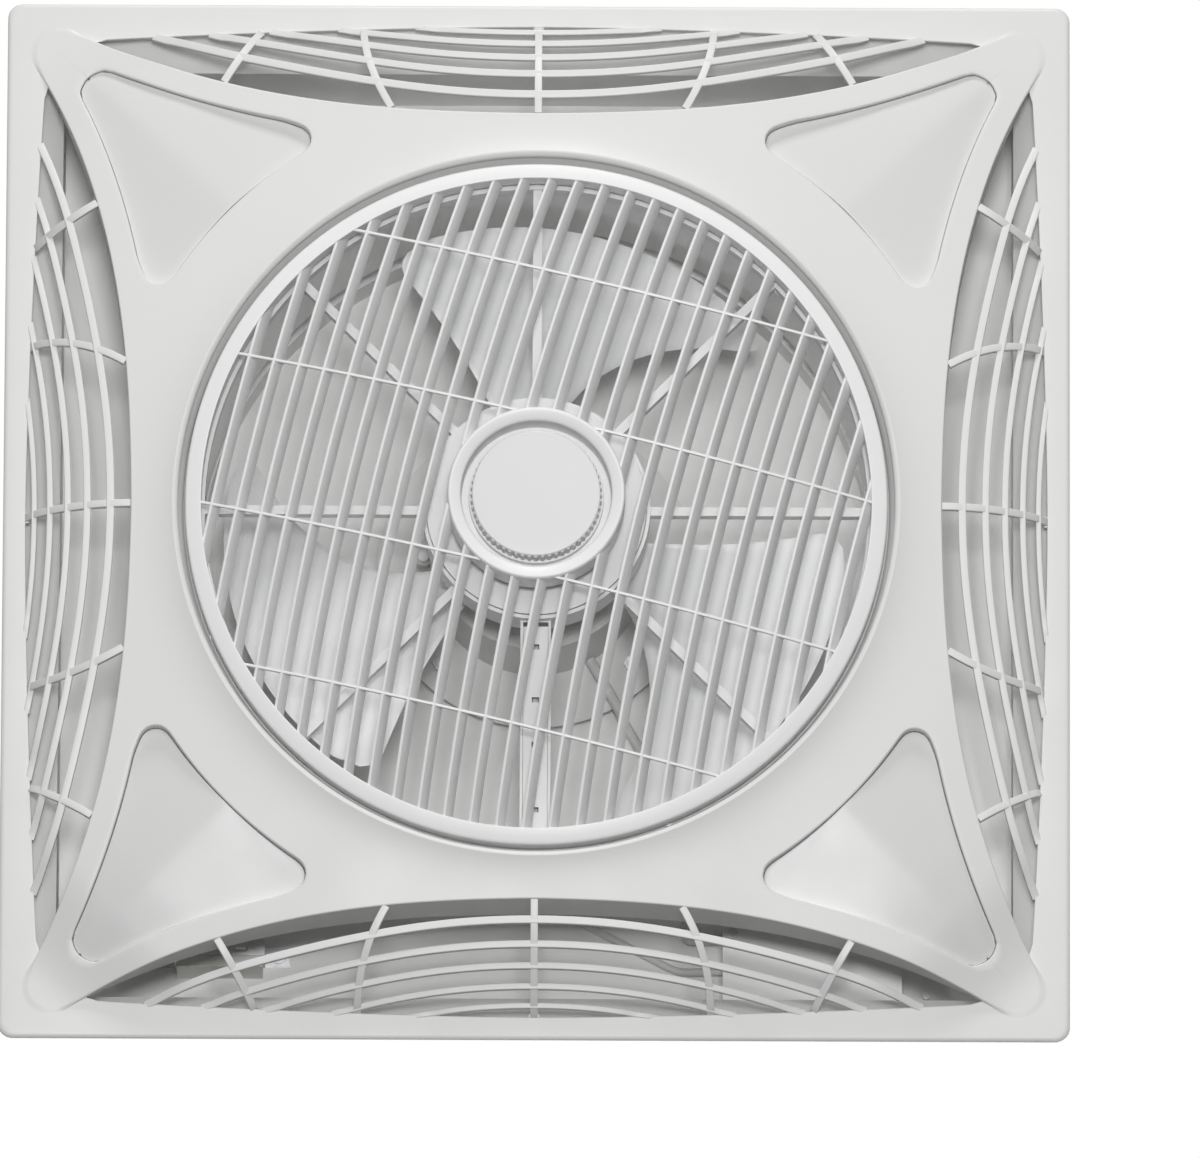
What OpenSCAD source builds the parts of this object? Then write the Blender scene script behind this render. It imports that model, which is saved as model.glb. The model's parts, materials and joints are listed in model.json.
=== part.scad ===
// Drop ceiling fan for a 600 mm tile grid, seen from the room: a square white panel with four
// side air intakes and a round turning louver over a fan in a duct.
//
// Each piece is drawn on the bench with its room side up: a is to the right, b is away and c is
// up, out of the panel's seat. Every module then turns its piece over, so that as installed +Z
// points to the slab above, and the seat of the panel's flange on the grid is at Z = 0.

/* [Front panel] */
// Width of the square panel
panel_w = 595; // [592:1:598]
// Wall of the moulded panel
panel_wall = 2.8; // [2.4:0.1:3.2]
// Radius of the round opening over the fan
opening_r = 199.3; // [198:0.5:201]
// Height of the panel above its seat, at the opening
dome_h = 43; // [40:1:46]
// Width of the flat rim at the middle of a side
rim_w = 11.5; // [10:0.5:13]
// Width of the star's arms outside the opening, at the middle of a side
waist_w = 26.3; // [23:0.5:29]
// Radius of the panel's four corners
panel_corner_r = 8; // [4:1:12]

/* [Side grilles] */
// Width of a curved bar
bar_w = 3.6; // [3:0.2:4.4]
// Width of a cross rib
rib_w = 3.8; // [3:0.2:5]
// Depth of the bars
bar_h = 4; // [3:0.5:5]

/* [Corner covers] */
// How far a cover lies below the panel's face
cover_sunk = 0.8; // [0.4:0.1:1.2]
// Seam around a cover
cover_seam = 0.4; // [0.2:0.1:0.8]

/* [Louver] */
// Gap between the louver's ring and the opening
louver_gap = 3.8; // [2.5:0.1:5]
// Width of the louver's ring
ring_w = 9; // [7:0.5:9.5]
// Rise of the vanes from the ring to the hub
louver_rise = 20; // [16:1:22]
// Distance from vane to vane, on the average
vane_pitch = 14.7; // [13.8:0.1:15]
// Thickness of a vane
vane_t = 1.5; // [1.2:0.1:2]
// Depth of a vane along its own slope
vane_depth = 13; // [10:0.5:13.5]
// Lean of the vanes from the fan's axis
vane_tilt = 25; // [18:1:30]
// Turn of the louver about the fan's axis, as it is stored
louver_turn = 13.4; // [0:0.2:90]
// Outer radius of the louver's hub ring
hub_ring_r = 49.5; // [47:0.5:52]
// Radius of the retaining knob
knob_r = 36.6; // [33:0.2:38.4]

/* [Duct and spider] */
// Gap between the opening and the duct's wall
duct_gap = 8.8; // [8:0.2:10]
// Wall of the duct
duct_wall = 2.5; // [2:0.1:3]
// Depth of the duct behind the panel's seat
duct_back = 78; // [74:1:82]
// Outer radius of the spider's hub
spider_hub_r = 63.5; // [60:0.5:66]
// Width of an arm
arm_w = 5; // [4:0.5:7]
// Width of the wiring channel
channel_w = 17; // [15:0.5:20]

/* [Fan] */
// Gap between the blade tips and the duct
tip_gap = 13; // [8:0.5:16]
// Thickness of a blade
blade_t = 2.4; // [2:0.1:3]
// Radius of the impeller's hub
fan_hub_r = 50; // [46:0.5:54]
// Height that a blade climbs over one radian
blade_lead = 43; // [38:1:46]
// Radius of the motor's shaft
shaft_r = 5; // [4:0.25:5.5]

/* [Motor] */
// Radius of the motor's case
motor_r = 60; // [58:0.5:62]
// Thickness of the motor's mounting plate
plate_t = 2; // [1.5:0.1:2.5]
// Height of a rubber mount
mount_h = 8; // [7:0.5:9]

/* [Rear housing] */
// Width of the housing
housing_w = 536; // [532:1:540]
// Width of the housing's mouth, behind the panel
mouth_w = 586; // [584:0.5:588]
// Sheet thickness
sheet = 1.5; // [1.2:0.1:2]
// Depth of the housing's floor behind the seat
floor_back = 102; // [100:1:106]
// Depth of the round well below that floor
well_depth = 28; // [27:0.5:32]
// Distance between hanger holes
hanger_span = 480; // [470:5:500]
// Radius of a hanger hole
hanger_hole_r = 4.5; // [3.5:0.25:5.5]
// Radius of the supply cable's bore in its gland
gland_bore_r = 4.5; // [3.5:0.25:5]

/* [Clearances] */
// Gap around a screw in its hole
screw_gap = 0.1; // [0.05:0.05:0.2]
// Radial gap of a shaft in a bore
running_gap = 0.05; // [0.02:0.01:0.1]
// Gap between two parts that are laid together
fit_gap = 0.4; // [0.2:0.1:0.6]

/* [Hidden] */
$fn = 96;

// Panel
half_w = panel_w / 2;
star_mid = opening_r + waist_w;
star_reach = half_w - 53.5;
star_rise = half_w - 25.1 - star_mid;
star_end = half_w - 39.5;
tip_r = 21;
tip_place = half_w - 37.5;
window_end = half_w - 51.5;
star_steps = 9;
lip_drop = 6.5;
lip_run = 12;
dome_drop = 29.5;
dome_run = 1.5 * half_w - 256.25;
dome_margin = 6;
pad_place = half_w - 72.5;
pad_start = pad_place - 12;
boss_count = 6;
boss_r = 5;
duct_screw_place = opening_r + 7.7;
notch_half = 7;
notch_depth = 2.5;
latch_half = 3;

// Corner covers
cover_inset = 15;
cover_arc_r = opening_r + 42.7;
cover_corner_r = 9;
cover_corner_turn = 57.2;
cover_tip = half_w - 54.5;
cover_tip_r = 13;
ledge_w = 3;
ledge_t = 1.8;

// Side grilles: bars are placed from the star's edge, ribs from one edge to the other
grille_w = half_w - rim_w - star_mid;
bar_places = [0.189, 0.404, 0.586, 0.752, 0.9];
rib_places = [[0, 0], [82, 98], [176, 155]];
bar_spread = 8;
spread_reach = half_w - 137.5;
bar_steps = 12;

// Screws
screw_r = 2;
head_r = 4;
head_h = 2;
post_r = 8;

// Duct and spider
duct_r = opening_r - duct_gap - duct_wall;
duct_flange_t = 2.5;
duct_flange_r = duct_screw_place + 6;
duct_lip_w = 6.5;
spider_flange_t = 2.2;
spider_flange_r = opening_r - 2.3;
spider_ring_t = 3.2;
arm_h = 8;
hub_wall = 2;
cover_t = 2.4;
channel_wall = 1.5;
ear_r = 4;
ear_place = duct_r + duct_wall + 2.5;
ear_angles = [22.5, 112.5, 202.5, 292.5];
louver_lead_r = 2.2;
louver_lead_b = -(duct_r + duct_wall + louver_lead_r + 1.3);

// Louver
ring_r = opening_r - louver_gap;
ring_in_r = ring_r - ring_w;
ring_front = dome_h - 2;
ring_back = ring_front - 14;
duct_front = ring_back - 7;
hub_front = duct_front + 6;
hub_back = duct_front - 18;
channel_back = duct_front - 12;
lead_c = duct_front - 7.5;
ring_skin = 2;
vane_front = ring_front - 1;
hub_ring_w = 7.7;
hub_ring_front = vane_front + louver_rise + 2;
hub_ring_back = hub_ring_front - 16;
hub_floor_t = 3;
hub_boss_r = 9;
hub_boss_back = hub_ring_back - 12;
vane_offset = 7.3;
vane_squeeze = 0.039;
vane_count = 25;
crossbar_places = [-128.5, -44, 44, 128.5];
crossbar_w = 1.3;
crossbar_h = 3;
louver_shaft_r = 3.5;
louver_motor_r = 24.5;
louver_motor_h = 16;
ear_span = 29;
knob_h = 11;
knob_teeth = 60;
knob_tooth_h = 1;

// Fan
tip_rad = duct_r - tip_gap;
blade_count = 3;
blade_turn = 96;
blade_mid = -20;
fan_hub_front = -8;
fan_hub_back = -42;
fan_hub_wall = 3;
root_half = 13;
lead_sweep = 45;
trail_sweep = 10;
radial_steps = 6;
chord_steps = 9;
nut_h = 6;

// Motor, from its plate forward
well_floor = -(floor_back + well_depth - sheet);
plate_back = well_floor + mount_h;
plate_front = plate_back + plate_t;
case_wall = 2.5;
case_split = plate_front + 28.5;
case_front = plate_front + 62;
bearing_r = 11;
bearing_h = 7;
stator_in_r = 34;
core_back = plate_front + 20.5;
core_front = core_back + 20;
winding_h = 6;
mount_place = 76;
mount_r = 9;
mount_bolt_r = 2.5;
motor_bolt_place = 48;
case_screw_place = motor_r + 3.4;
case_ear_r = 5;
case_ear_h = 4;
plate_r = 90;

// Housing
housing_half = housing_w / 2;
housing_corner_r = 4;
mouth_half = mouth_w / 2;
mouth_depth = 34;
well_r = 190;
floor_front = -(floor_back - sheet);
bracket_w = 36;
bracket_t = 2;
bracket_h = 20;
bracket_reach = 29;
bracket_foot = 16;
bracket_nose = 12;
bracket_screw_gap = 9;
bracket_screw_inset = 8;
gland_a = 155;
gland_c = floor_front + 18.5;
gland_r = 8;
gland_flange_r = 12;
gland_flange_h = 5.5;

// Control box
box = [100, 60, 36];
box_gap = 4.5;
box_at = [105, -(housing_half - sheet - box_gap), floor_front];
box_wall = 2;
gland_reach = sheet + box_gap + box_wall + 1;
box_lid_t = 2;
board_t = 1.6;
standoff_h = 5.5;
motor_lead_r = 3;
louver_inlet_b = box_at[1] + 26;
motor_inlet_b = box_at[1] + 44;
cap_size = [48, 24, 30];
cap_at = [-200, -(housing_half - 28), floor_front];

function turned(p, q) = [
    p[0] * cos(90 * q) - p[1] * sin(90 * q),
    p[0] * sin(90 * q) + p[1] * cos(90 * q)
];

// Distance of the star's edge and of the rim's inner edge from the panel's middle line
function star_p(s) = star_mid + star_rise * pow(abs(s) / star_reach, 2.65);
function rim_p(s) = half_w - rim_w - 7 * pow(s / star_reach, 2);

// Height of the panel's face at a radius
function dome_c(r) =
    dome_h - lip_drop * (1 - exp(-(r - opening_r) / lip_run))
    - dome_drop * pow(max(0, r - opening_r) / dome_run, 1.7);

function star_side(g) = [
    for (i = [star_steps:-1:-star_steps])
        let (s = star_end * i / star_steps) [s, star_p(s) + g]
];
function star_tip(g) = [
    for (t = [100:14:170]) [-tip_place + (tip_r + g) * cos(t), tip_place + (tip_r + g) * sin(t)]
];
function star_outline(g) = [
    for (q = [0:3]) for (p = concat(star_side(g), star_tip(g))) turned(p, q)
];

// The side of a cover that runs beside the star's edge, from its inner corner outwards
function cover_side(g) =
    let (from = place(cover_arc_r + cover_corner_r, cover_corner_turn)[0] + 6)
    [
        for (i = [0:6])
            let (s = from + (cover_tip - from) * i / 6) [s, star_p(s) - cover_inset + g]
    ];
function cover_round(c, r, from, to, steps) = [
    for (i = [0:steps])
        let (t = from + (to - from) * i / steps) [c[0] + r * cos(t), c[1] + r * sin(t)]
];
function flipped(points) = [for (i = [len(points) - 1:-1:0]) [points[i][1], points[i][0]]];
// Half of a cover's outline, from the middle of its inner arc to its outer tip
function cover_half(g) = concat(
    cover_round([0, 0], cover_arc_r - g, 45, cover_corner_turn - 0.7, 4),
    cover_round(place(cover_arc_r + cover_corner_r, cover_corner_turn), cover_corner_r + g, 237, 102, 7),
    cover_side(g),
    cover_round([cover_tip, cover_tip], cover_tip_r + g, 84, 45, 3)
);
function cover_outline(g) = concat(cover_half(g), flipped(cover_half(g)));

// Side grilles
function grille_c(s, p) =
    let (f = max(0, (p - star_p(s)) / (rim_p(s) + 0.5 - star_p(s))))
    dome_c(norm([s, star_p(s)])) * pow(max(0, 1 - pow(f, 1.9)), 0.8);
function bar_p(k, s) =
    star_p(s) + grille_w * bar_places[k]
    + bar_spread * (1 - cos(min(180, abs(s) * 180 / spread_reach))) / 2;
function bar_end(k, s) =
    bar_p(k, s) + bar_w / 2 > rim_p(s) - fit_gap || s > window_end - 4 ? s - 1 : bar_end(k, s + 1);

// Height of the louver's front at a radius
function louver_c(r) =
    vane_front + louver_rise * (ring_in_r * ring_in_r - r * r)
    / (ring_in_r * ring_in_r - hub_ring_r * hub_ring_r);

// A blade's edges, in degrees from its middle line, at a fraction of its length
function lead_edge(x) = -root_half - lead_sweep * pow(max(0, x), 1.3);
function trail_edge(x) = root_half + trail_sweep * x;

module room() {
    rotate([180, 0, 0]) children();
}

module tube(r_out, r_in, c1, c2) {
    translate([0, 0, c1]) difference() {
        cylinder(r = r_out, h = c2 - c1);
        translate([0, 0, -1]) cylinder(r = r_in, h = c2 - c1 + 2);
    }
}

module rounded_slab(w, r, c1, c2) {
    translate([0, 0, c1]) linear_extrude(c2 - c1) {
        square([w - 2 * r, w], center = true);
        square([w, w - 2 * r], center = true);
        for (x = [-1, 1], y = [-1, 1])
            translate([x * (w / 2 - r), y * (w / 2 - r)]) circle(r = r);
    }
}

// A pin at [a, b] from height c1 to c2
module pin(at, r, c1, c2) {
    translate([at[0], at[1], min(c1, c2)]) cylinder(r = r, h = abs(c2 - c1), $fn = 32);
}

// A screw whose head stands on height c and whose shank runs the other way
module screw(at, c, length, r = screw_r, head = head_r, up = 1) {
    pin(at, head, c, c + up * head_h);
    pin(at, r, c, c - up * length);
}

// A cable's route with its corners rounded
function eased(points, r) = concat(
    [points[0]],
    [for (i = [1:len(points) - 2])
        let (
            p = points[i],
            from = p + unit(points[i - 1] - p) * r,
            to = p + unit(points[i + 1] - p) * r
        )
        for (t = [0:0.25:1]) (1 - t) * (1 - t) * from + 2 * t * (1 - t) * p + t * t * to],
    [points[len(points) - 1]]
);
function unit(v) = v / norm(v);

// A cable swept along its route; `side` is a direction that the route never follows
module cable(points, r, side, bend = 6, sides = 10) {
    path = eased(points, bend);
    last = len(path) - 1;
    rings = [
        for (i = [0:last])
            let (
                along = unit(path[min(last, i + 1)] - path[max(0, i - 1)]),
                n1 = unit(cross(along, side)),
                n2 = cross(along, n1)
            )
            for (k = [0:sides - 1])
                path[i] + r * (n1 * cos(360 * k / sides) + n2 * sin(360 * k / sides))
    ];
    faces = concat(
        [[for (k = [sides - 1:-1:0]) k]],
        [for (i = [0:last - 1], k = [0:sides - 1])
            let (n = (k + 1) % sides)
            [i * sides + k, i * sides + n, (i + 1) * sides + n, (i + 1) * sides + k]],
        [[for (k = [0:sides - 1]) last * sides + k]]
    );
    polyhedron(rings, [for (f = faces) [for (n = [len(f) - 1:-1:0]) f[n]]]);
}

function around(r, t, c) = [r * cos(t), r * sin(t), c];
function place(r, t) = [r * cos(t), r * sin(t)];

// The panel's face as a band from `top` to `bottom` below the face, or down to the seat's back
module dome_band(top, bottom = undef, r_from = opening_r) {
    radii = concat(
        [r_from],
        [for (i = [1:10])
            let (r = opening_r + (dome_run + dome_margin) * pow(i / 10, 1.6)) if (r > r_from + 1) r]
    );
    rotate_extrude() polygon(concat(
        [for (r = radii) [r, dome_c(r) - top]],
        [for (i = [len(radii) - 1:-1:0])
            let (r = radii[i]) [r, is_undef(bottom) ? -panel_wall : dome_c(r) - bottom]]
    ));
}

module star_prism(g) {
    translate([0, 0, -50]) linear_extrude(150) polygon(star_outline(g));
}

module window() {
    steps = 10;
    polygon(concat(
        [for (i = [-steps:steps]) let (s = window_end * i / steps) [s, star_p(s)]],
        [for (i = [steps:-1:-steps]) let (s = window_end * i / steps) [s, rim_p(s)]]
    ));
}

module front_panel() {
    color("white") room() difference() {
        union() {
            difference() {
                intersection() {
                    dome_band(0);
                    star_prism(0);
                }
                intersection() {
                    translate([0, 0, -0.01]) dome_band(panel_wall, 80, opening_r + panel_wall);
                    star_prism(-panel_wall);
                }
            }
            difference() {
                rounded_slab(panel_w, panel_corner_r, -panel_wall, 0);
                star_prism(-panel_wall + 0.01);
                for (q = [0:3]) rotate(90 * q) {
                    translate([0, 0, -10]) linear_extrude(20) window();
                    translate([-notch_half, half_w - rim_w - 1, -10])
                        cube([2 * notch_half, notch_depth + 1, 20]);
                }
            }
            corner_pads();
            cover_ledges();
            for (i = [0:boss_count - 1])
                pin(place(duct_screw_place, 60 * i), boss_r, -panel_wall, 18);
        }
        for (q = [0:3]) rotate(90 * q) {
            translate([0, 0, 6]) linear_extrude(60) polygon(cover_outline(cover_seam));
            pin([pad_place, pad_place], screw_r + screw_gap, -20, 5);
        }
        for (i = [0:boss_count - 1])
            pin(place(duct_screw_place, 60 * i), screw_r + screw_gap, -10, 10);
    }
}

// Floors inside the star's tips, where the panel is screwed to the housing
module corner_pads() {
    intersection() {
        translate([0, 0, -panel_wall]) linear_extrude(panel_wall)
            polygon(star_outline(-panel_wall / 2));
        for (q = [0:3]) rotate(90 * q + 45)
            translate([pad_start * sqrt(2), -half_w, -half_w]) cube(panel_w);
    }
}

module cover_ledges() {
    for (q = [0:3]) rotate(90 * q) {
        intersection() {
            dome_band(panel_wall, panel_wall + ledge_t);
            ledge_ring(-ledge_w, ledge_w);
        }
        intersection() {
            dome_band(panel_wall - 1, panel_wall + ledge_t);
            ledge_ring(cover_seam, ledge_w);
        }
    }
}

module ledge_ring(g_in, g_out) {
    linear_extrude(60) difference() {
        polygon(cover_outline(g_out));
        polygon(cover_outline(g_in));
    }
}

module side_bar(k) {
    e = bar_end(k, 0);
    places = [for (i = [-bar_steps:bar_steps]) e * i / bar_steps];
    back = [for (i = [len(places) - 1:-1:0]) places[i]];
    intersection() {
        translate([0, 0, -30]) linear_extrude(100) polygon(concat(
            [for (s = places) [s, bar_p(k, s) - bar_w / 2]],
            [for (s = back) [s, bar_p(k, s) + bar_w / 2]]
        ));
        translate([0, half_w, 0]) rotate([90, 0, 0]) linear_extrude(120) polygon(concat(
            [for (s = places) [s, grille_c(s, bar_p(k, s)) - bar_h]],
            [for (s = back) [s, grille_c(s, bar_p(k, s))]]
        ));
    }
}

module side_rib(at_star, at_rim) {
    from = [at_star, star_p(at_star)];
    to = [at_rim, rim_p(at_rim)];
    length = norm(to - from);
    gap = fit_gap + rib_w / 2 * abs(to[0] - from[0]) / (to[1] - from[1]);
    steps = 10;
    tops = [
        for (i = [0:steps])
            let (u = gap + (length - 2 * gap) * i / steps, p = from + (to - from) * u / length)
                [u, grille_c(p[0], p[1])]
    ];
    translate([from[0], from[1], 0])
        rotate([0, 0, atan2(to[1] - from[1], to[0] - from[0])])
            rotate([90, 0, 0]) translate([0, 0, -rib_w / 2]) linear_extrude(rib_w)
                polygon(concat(tops, [for (i = [steps:-1:0]) tops[i] - [0, bar_h + 0.5]]));
}

module side_grille(q) {
    color("white") room() rotate(90 * q) {
        for (k = [0:len(bar_places) - 1]) side_bar(k);
        for (r = rib_places) {
            side_rib(r[0], r[1]);
            if (r[0] > 0) side_rib(-r[0], -r[1]);
        }
        translate([-latch_half, half_w - rim_w - 3, -bar_h - 0.5])
            cube([2 * latch_half, 3 + notch_depth - fit_gap, bar_h - 0.2]);
    }
}

module side_grille_xp() { side_grille(3); }
module side_grille_yn() { side_grille(0); }
module side_grille_xn() { side_grille(1); }
module side_grille_yp() { side_grille(2); }

module corner_cover(q) {
    color("gainsboro") room() rotate(90 * q) intersection() {
        dome_band(cover_sunk, panel_wall - 0.05);
        linear_extrude(60) polygon(cover_outline(0));
    }
}

module corner_cover_xp_yn() { corner_cover(0); }
module corner_cover_xn_yn() { corner_cover(1); }
module corner_cover_xn_yp() { corner_cover(2); }
module corner_cover_xp_yp() { corner_cover(3); }

module panel_screws() {
    color("silver") room()
        for (q = [0:3]) rotate(90 * q) screw([pad_place, pad_place], 0, 22);
}

module air_duct() {
    color("whitesmoke") room() difference() {
        union() {
            tube(duct_r + duct_wall, duct_r, -duct_back, duct_front);
            tube(duct_flange_r, duct_r, -panel_wall - duct_flange_t, -panel_wall);
            tube(duct_r + duct_wall + duct_lip_w, duct_r, -duct_back, -duct_back + duct_wall);
            for (t = ear_angles)
                difference() {
                    pin(place(ear_place, t), ear_r, 4, duct_front);
                    cylinder(r = duct_r + 0.5, h = 30);
                }
        }
        for (i = [0:boss_count - 1])
            pin(place(duct_screw_place, 60 * i), screw_r + screw_gap, -20, 0);
        for (t = ear_angles) pin(place(ear_place, t), 1.6, 6, 30);
        translate([0, -duct_r + 5, lead_c]) rotate([90, 0, 0])
            cylinder(r = louver_lead_r + 0.6, h = 20, $fn = 32);
        pin([0, louver_lead_b], louver_lead_r + 0.6, -duct_back - 5, 5);
    }
}

module duct_screws() {
    color("silver") room() for (i = [0:boss_count - 1])
        screw(place(duct_screw_place, 60 * i), -panel_wall - duct_flange_t, 14, up = -1);
}

module spider_frame() {
    color("white") room() difference() {
        union() {
            tube(duct_r - 0.3, duct_r - spider_ring_t, duct_front - arm_h, duct_front + spider_flange_t);
            tube(spider_flange_r, duct_r - spider_ring_t, duct_front, duct_front + spider_flange_t);
            for (i = [0:7]) if (i != 6) rotate(45 * i)
                translate([spider_hub_r - 1, -arm_w / 2, duct_front - arm_h])
                    cube([duct_r - spider_hub_r - 0.8, arm_w, arm_h]);
            translate([-channel_w / 2, -duct_r + 2, channel_back])
                cube([channel_w, duct_r - spider_hub_r - 1, duct_front - channel_back]);
            translate([0, 0, hub_back]) cylinder(r = spider_hub_r, h = hub_front - hub_back);
        }
        translate([0, 0, hub_back + hub_wall])
            cylinder(r = spider_hub_r - hub_wall, h = hub_front);
        translate([-channel_w / 2 + channel_wall, -duct_r + 3.5, channel_back + channel_wall])
            cube([channel_w - 2 * channel_wall, duct_r - spider_hub_r - 4, 40]);
        translate([0, -spider_hub_r + 8, lead_c]) rotate([90, 0, 0])
            cylinder(r = louver_lead_r + 0.6, h = duct_r - spider_hub_r, $fn = 32);
        translate([0, -duct_r + 8, lead_c]) rotate([90, 0, 0])
            cylinder(r = louver_lead_r + 0.6, h = 20, $fn = 32);
        for (t = ear_angles) pin(place(ear_place, t), 1.6, 6, 30);
        for (x = [-ear_span, ear_span]) pin([x, 0], 1.6, 0, 20);
    }
}

module spider_screws() {
    color("silver") room() for (t = ear_angles)
        screw(place(ear_place, t), duct_front + spider_flange_t, 12, 1.5, 3);
}

module hub_cover() {
    color("white") room()
        tube(spider_hub_r - hub_wall - 0.3, louver_shaft_r + 3, hub_front - 0.4, hub_front + cover_t - 0.4);
}

module channel_cover() {
    length = duct_r - spider_hub_r - 8;
    color("white") room() difference() {
        translate([-channel_w / 2 + channel_wall + 0.2, -duct_r + 5, duct_front - channel_wall])
            cube([channel_w - 2 * channel_wall - 0.4, length, channel_wall]);
        for (x = [0.1, 0.42, 0.64, 0.9])
            translate([-2, -duct_r + 5 + length * x - 1.5, duct_front - 5]) cube([4, 3, 10]);
    }
}

module louver_motor() {
    base = hub_back + hub_wall;
    color("lightgrey") room() difference() {
        union() {
            translate([0, 0, base]) cylinder(r = louver_motor_r, h = louver_motor_h);
            translate([-ear_span - 4, -5, base]) cube([2 * ear_span + 8, 10, 1.5]);
        }
        pin([0, 0], louver_shaft_r + running_gap, base + 4, base + 40);
        for (x = [-ear_span, ear_span]) pin([x, 0], 1.6, 0, 20);
    }
}

module louver_motor_screws() {
    color("silver") room() for (x = [-ear_span, ear_span])
        screw([x, 0], hub_back + hub_wall + 1.5, 5, 1.5, 2.8);
}

module louver_lead() {
    color("dimgray") room() cable([
        [0, -louver_motor_r - 0.2, lead_c],
        [0, louver_lead_b, lead_c],
        [0, louver_lead_b, floor_front + louver_lead_r + 0.1],
        [box_at[0] - 25, louver_inlet_b, floor_front + louver_lead_r + 0.1],
        [box_at[0] - 8, louver_inlet_b, wire_c(louver_lead_r)],
        [box_at[0] + box_wall + 3, louver_inlet_b, wire_c(louver_lead_r)]
    ], louver_lead_r, [0.6, 0.8, 0]);
}

module louver_shaft() {
    color("silver") room()
        pin([0, 0], louver_shaft_r, hub_back + hub_wall + 5, hub_ring_back + hub_floor_t + 9);
}

module louver_grille() {
    color("white") room() rotate(-louver_turn) {
        tube(ring_r, ring_r - ring_skin, ring_back, ring_front);
        tube(ring_in_r + ring_skin, ring_in_r, ring_back, ring_front);
        tube(ring_r, ring_in_r, ring_front - ring_skin, ring_front);
        tube(hub_ring_r, hub_ring_r - hub_ring_w, hub_ring_back, hub_ring_front);
        tube(hub_ring_r - hub_ring_w + 1, louver_shaft_r + running_gap,
            hub_ring_back, hub_ring_back + hub_floor_t);
        tube(hub_boss_r, louver_shaft_r + running_gap, hub_boss_back, hub_ring_back + 1);
        intersection() {
            union() {
                for (i = [-(vane_count - 1) / 2:(vane_count - 1) / 2])
                    vane(vane_offset + i * vane_pitch - i * i * vane_squeeze);
                for (v = crossbar_places) crossbar(v);
            }
            tube(ring_in_r + 1, hub_ring_r - 1, 0, 90);
        }
    }
}

// One flat vane, leaning over, whose front edge follows the louver's dome
module vane(d) {
    steps = 9;
    reach = sqrt(max(0, pow(ring_in_r + 6, 2) - d * d));
    ups = [
        for (i = [-steps:steps])
            let (
                u = reach * i / steps,
                first = d - tan(vane_tilt) * (louver_c(norm([d, u])) - vane_front)
            )
            [u, (louver_c(norm([first, u])) - vane_front) / cos(vane_tilt)]
    ];
    if (reach > 30)
        translate([d, 0, vane_front]) rotate([0, -vane_tilt, 0]) rotate([90, 0, 90])
            translate([0, 0, -vane_t / 2]) linear_extrude(vane_t)
                polygon(concat(ups, [for (i = [2 * steps:-1:0]) ups[i] - [0, vane_depth]]));
}

module crossbar(v) {
    steps = 10;
    reach = ring_in_r + 3;
    tops = [for (i = [-steps:steps]) let (u = reach * i / steps) [u, louver_c(norm([u, v]))]];
    translate([0, v + crossbar_w / 2, 0]) rotate([90, 0, 0]) linear_extrude(crossbar_w)
        polygon(concat(tops, [for (i = [2 * steps:-1:0]) tops[i] - [0, crossbar_h]]));
}

module hub_knob() {
    back = hub_ring_back + hub_floor_t + 0.2;
    color("white") room() difference() {
        translate([0, 0, back]) linear_extrude(knob_h) polygon([
            for (i = [0:2 * knob_teeth - 1])
                place(knob_r - (i % 2) * knob_tooth_h, 180 * i / knob_teeth)
        ]);
        pin([0, 0], louver_shaft_r + running_gap, back - 1, back + 9);
    }
}

// One blade: a thin helical sheet, swept forward at its leading edge
module blade() {
    nr = radial_steps + 1;
    nc = chord_steps + 1;
    points = [
        for (side = [1, -1], i = [0:radial_steps], j = [0:chord_steps])
            let (
                x = i / radial_steps,
                r = fan_hub_r - 1.5 + (tip_rad - fan_hub_r + 1.5) * x,
                t = lead_edge(x) + (trail_edge(x) - lead_edge(x)) * j / chord_steps
            )
            [r * cos(t), r * sin(t), blade_mid + blade_lead * t * PI / 180 + side * blade_t / 2]
    ];
    half = nr * nc;
    rim = concat(
        [for (j = [0:chord_steps]) j],
        [for (i = [1:radial_steps]) i * nc + chord_steps],
        [for (j = [chord_steps - 1:-1:0]) radial_steps * nc + j],
        [for (i = [radial_steps - 1:-1:1]) i * nc]
    );
    faces = concat(
        [for (i = [0:radial_steps - 1], j = [0:chord_steps - 1], k = [0, 1])
            let (a = i * nc + j)
            k == 0 ? [a, a + 1, a + nc + 1] : [a, a + nc + 1, a + nc]],
        [for (i = [0:radial_steps - 1], j = [0:chord_steps - 1], k = [0, 1])
            let (a = half + i * nc + j)
            k == 0 ? [a, a + nc + 1, a + 1] : [a, a + nc, a + nc + 1]],
        [for (n = [0:len(rim) - 1], k = [0, 1])
            let (a = rim[n], b = rim[(n + 1) % len(rim)])
            k == 0 ? [a, a + half, b + half] : [a, b + half, b]]
    );
    polyhedron(points, faces);
}

module fan_impeller() {
    depth = fan_hub_front - fan_hub_back;
    color("lightgray") room() difference() {
        union() {
            difference() {
                translate([0, 0, fan_hub_back]) cylinder(r = fan_hub_r, h = depth);
                translate([0, 0, fan_hub_back - 1])
                    cylinder(r = fan_hub_r - fan_hub_wall, h = depth + 1 - fan_hub_wall);
            }
            translate([0, 0, fan_hub_back]) cylinder(r = 12, h = depth);
            for (i = [0:blade_count - 1]) rotate(blade_turn + 120 * i) blade();
        }
        translate([0, 0, fan_hub_back - 1])
            cylinder(r = shaft_r + running_gap, h = depth + 2);
    }
}

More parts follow.
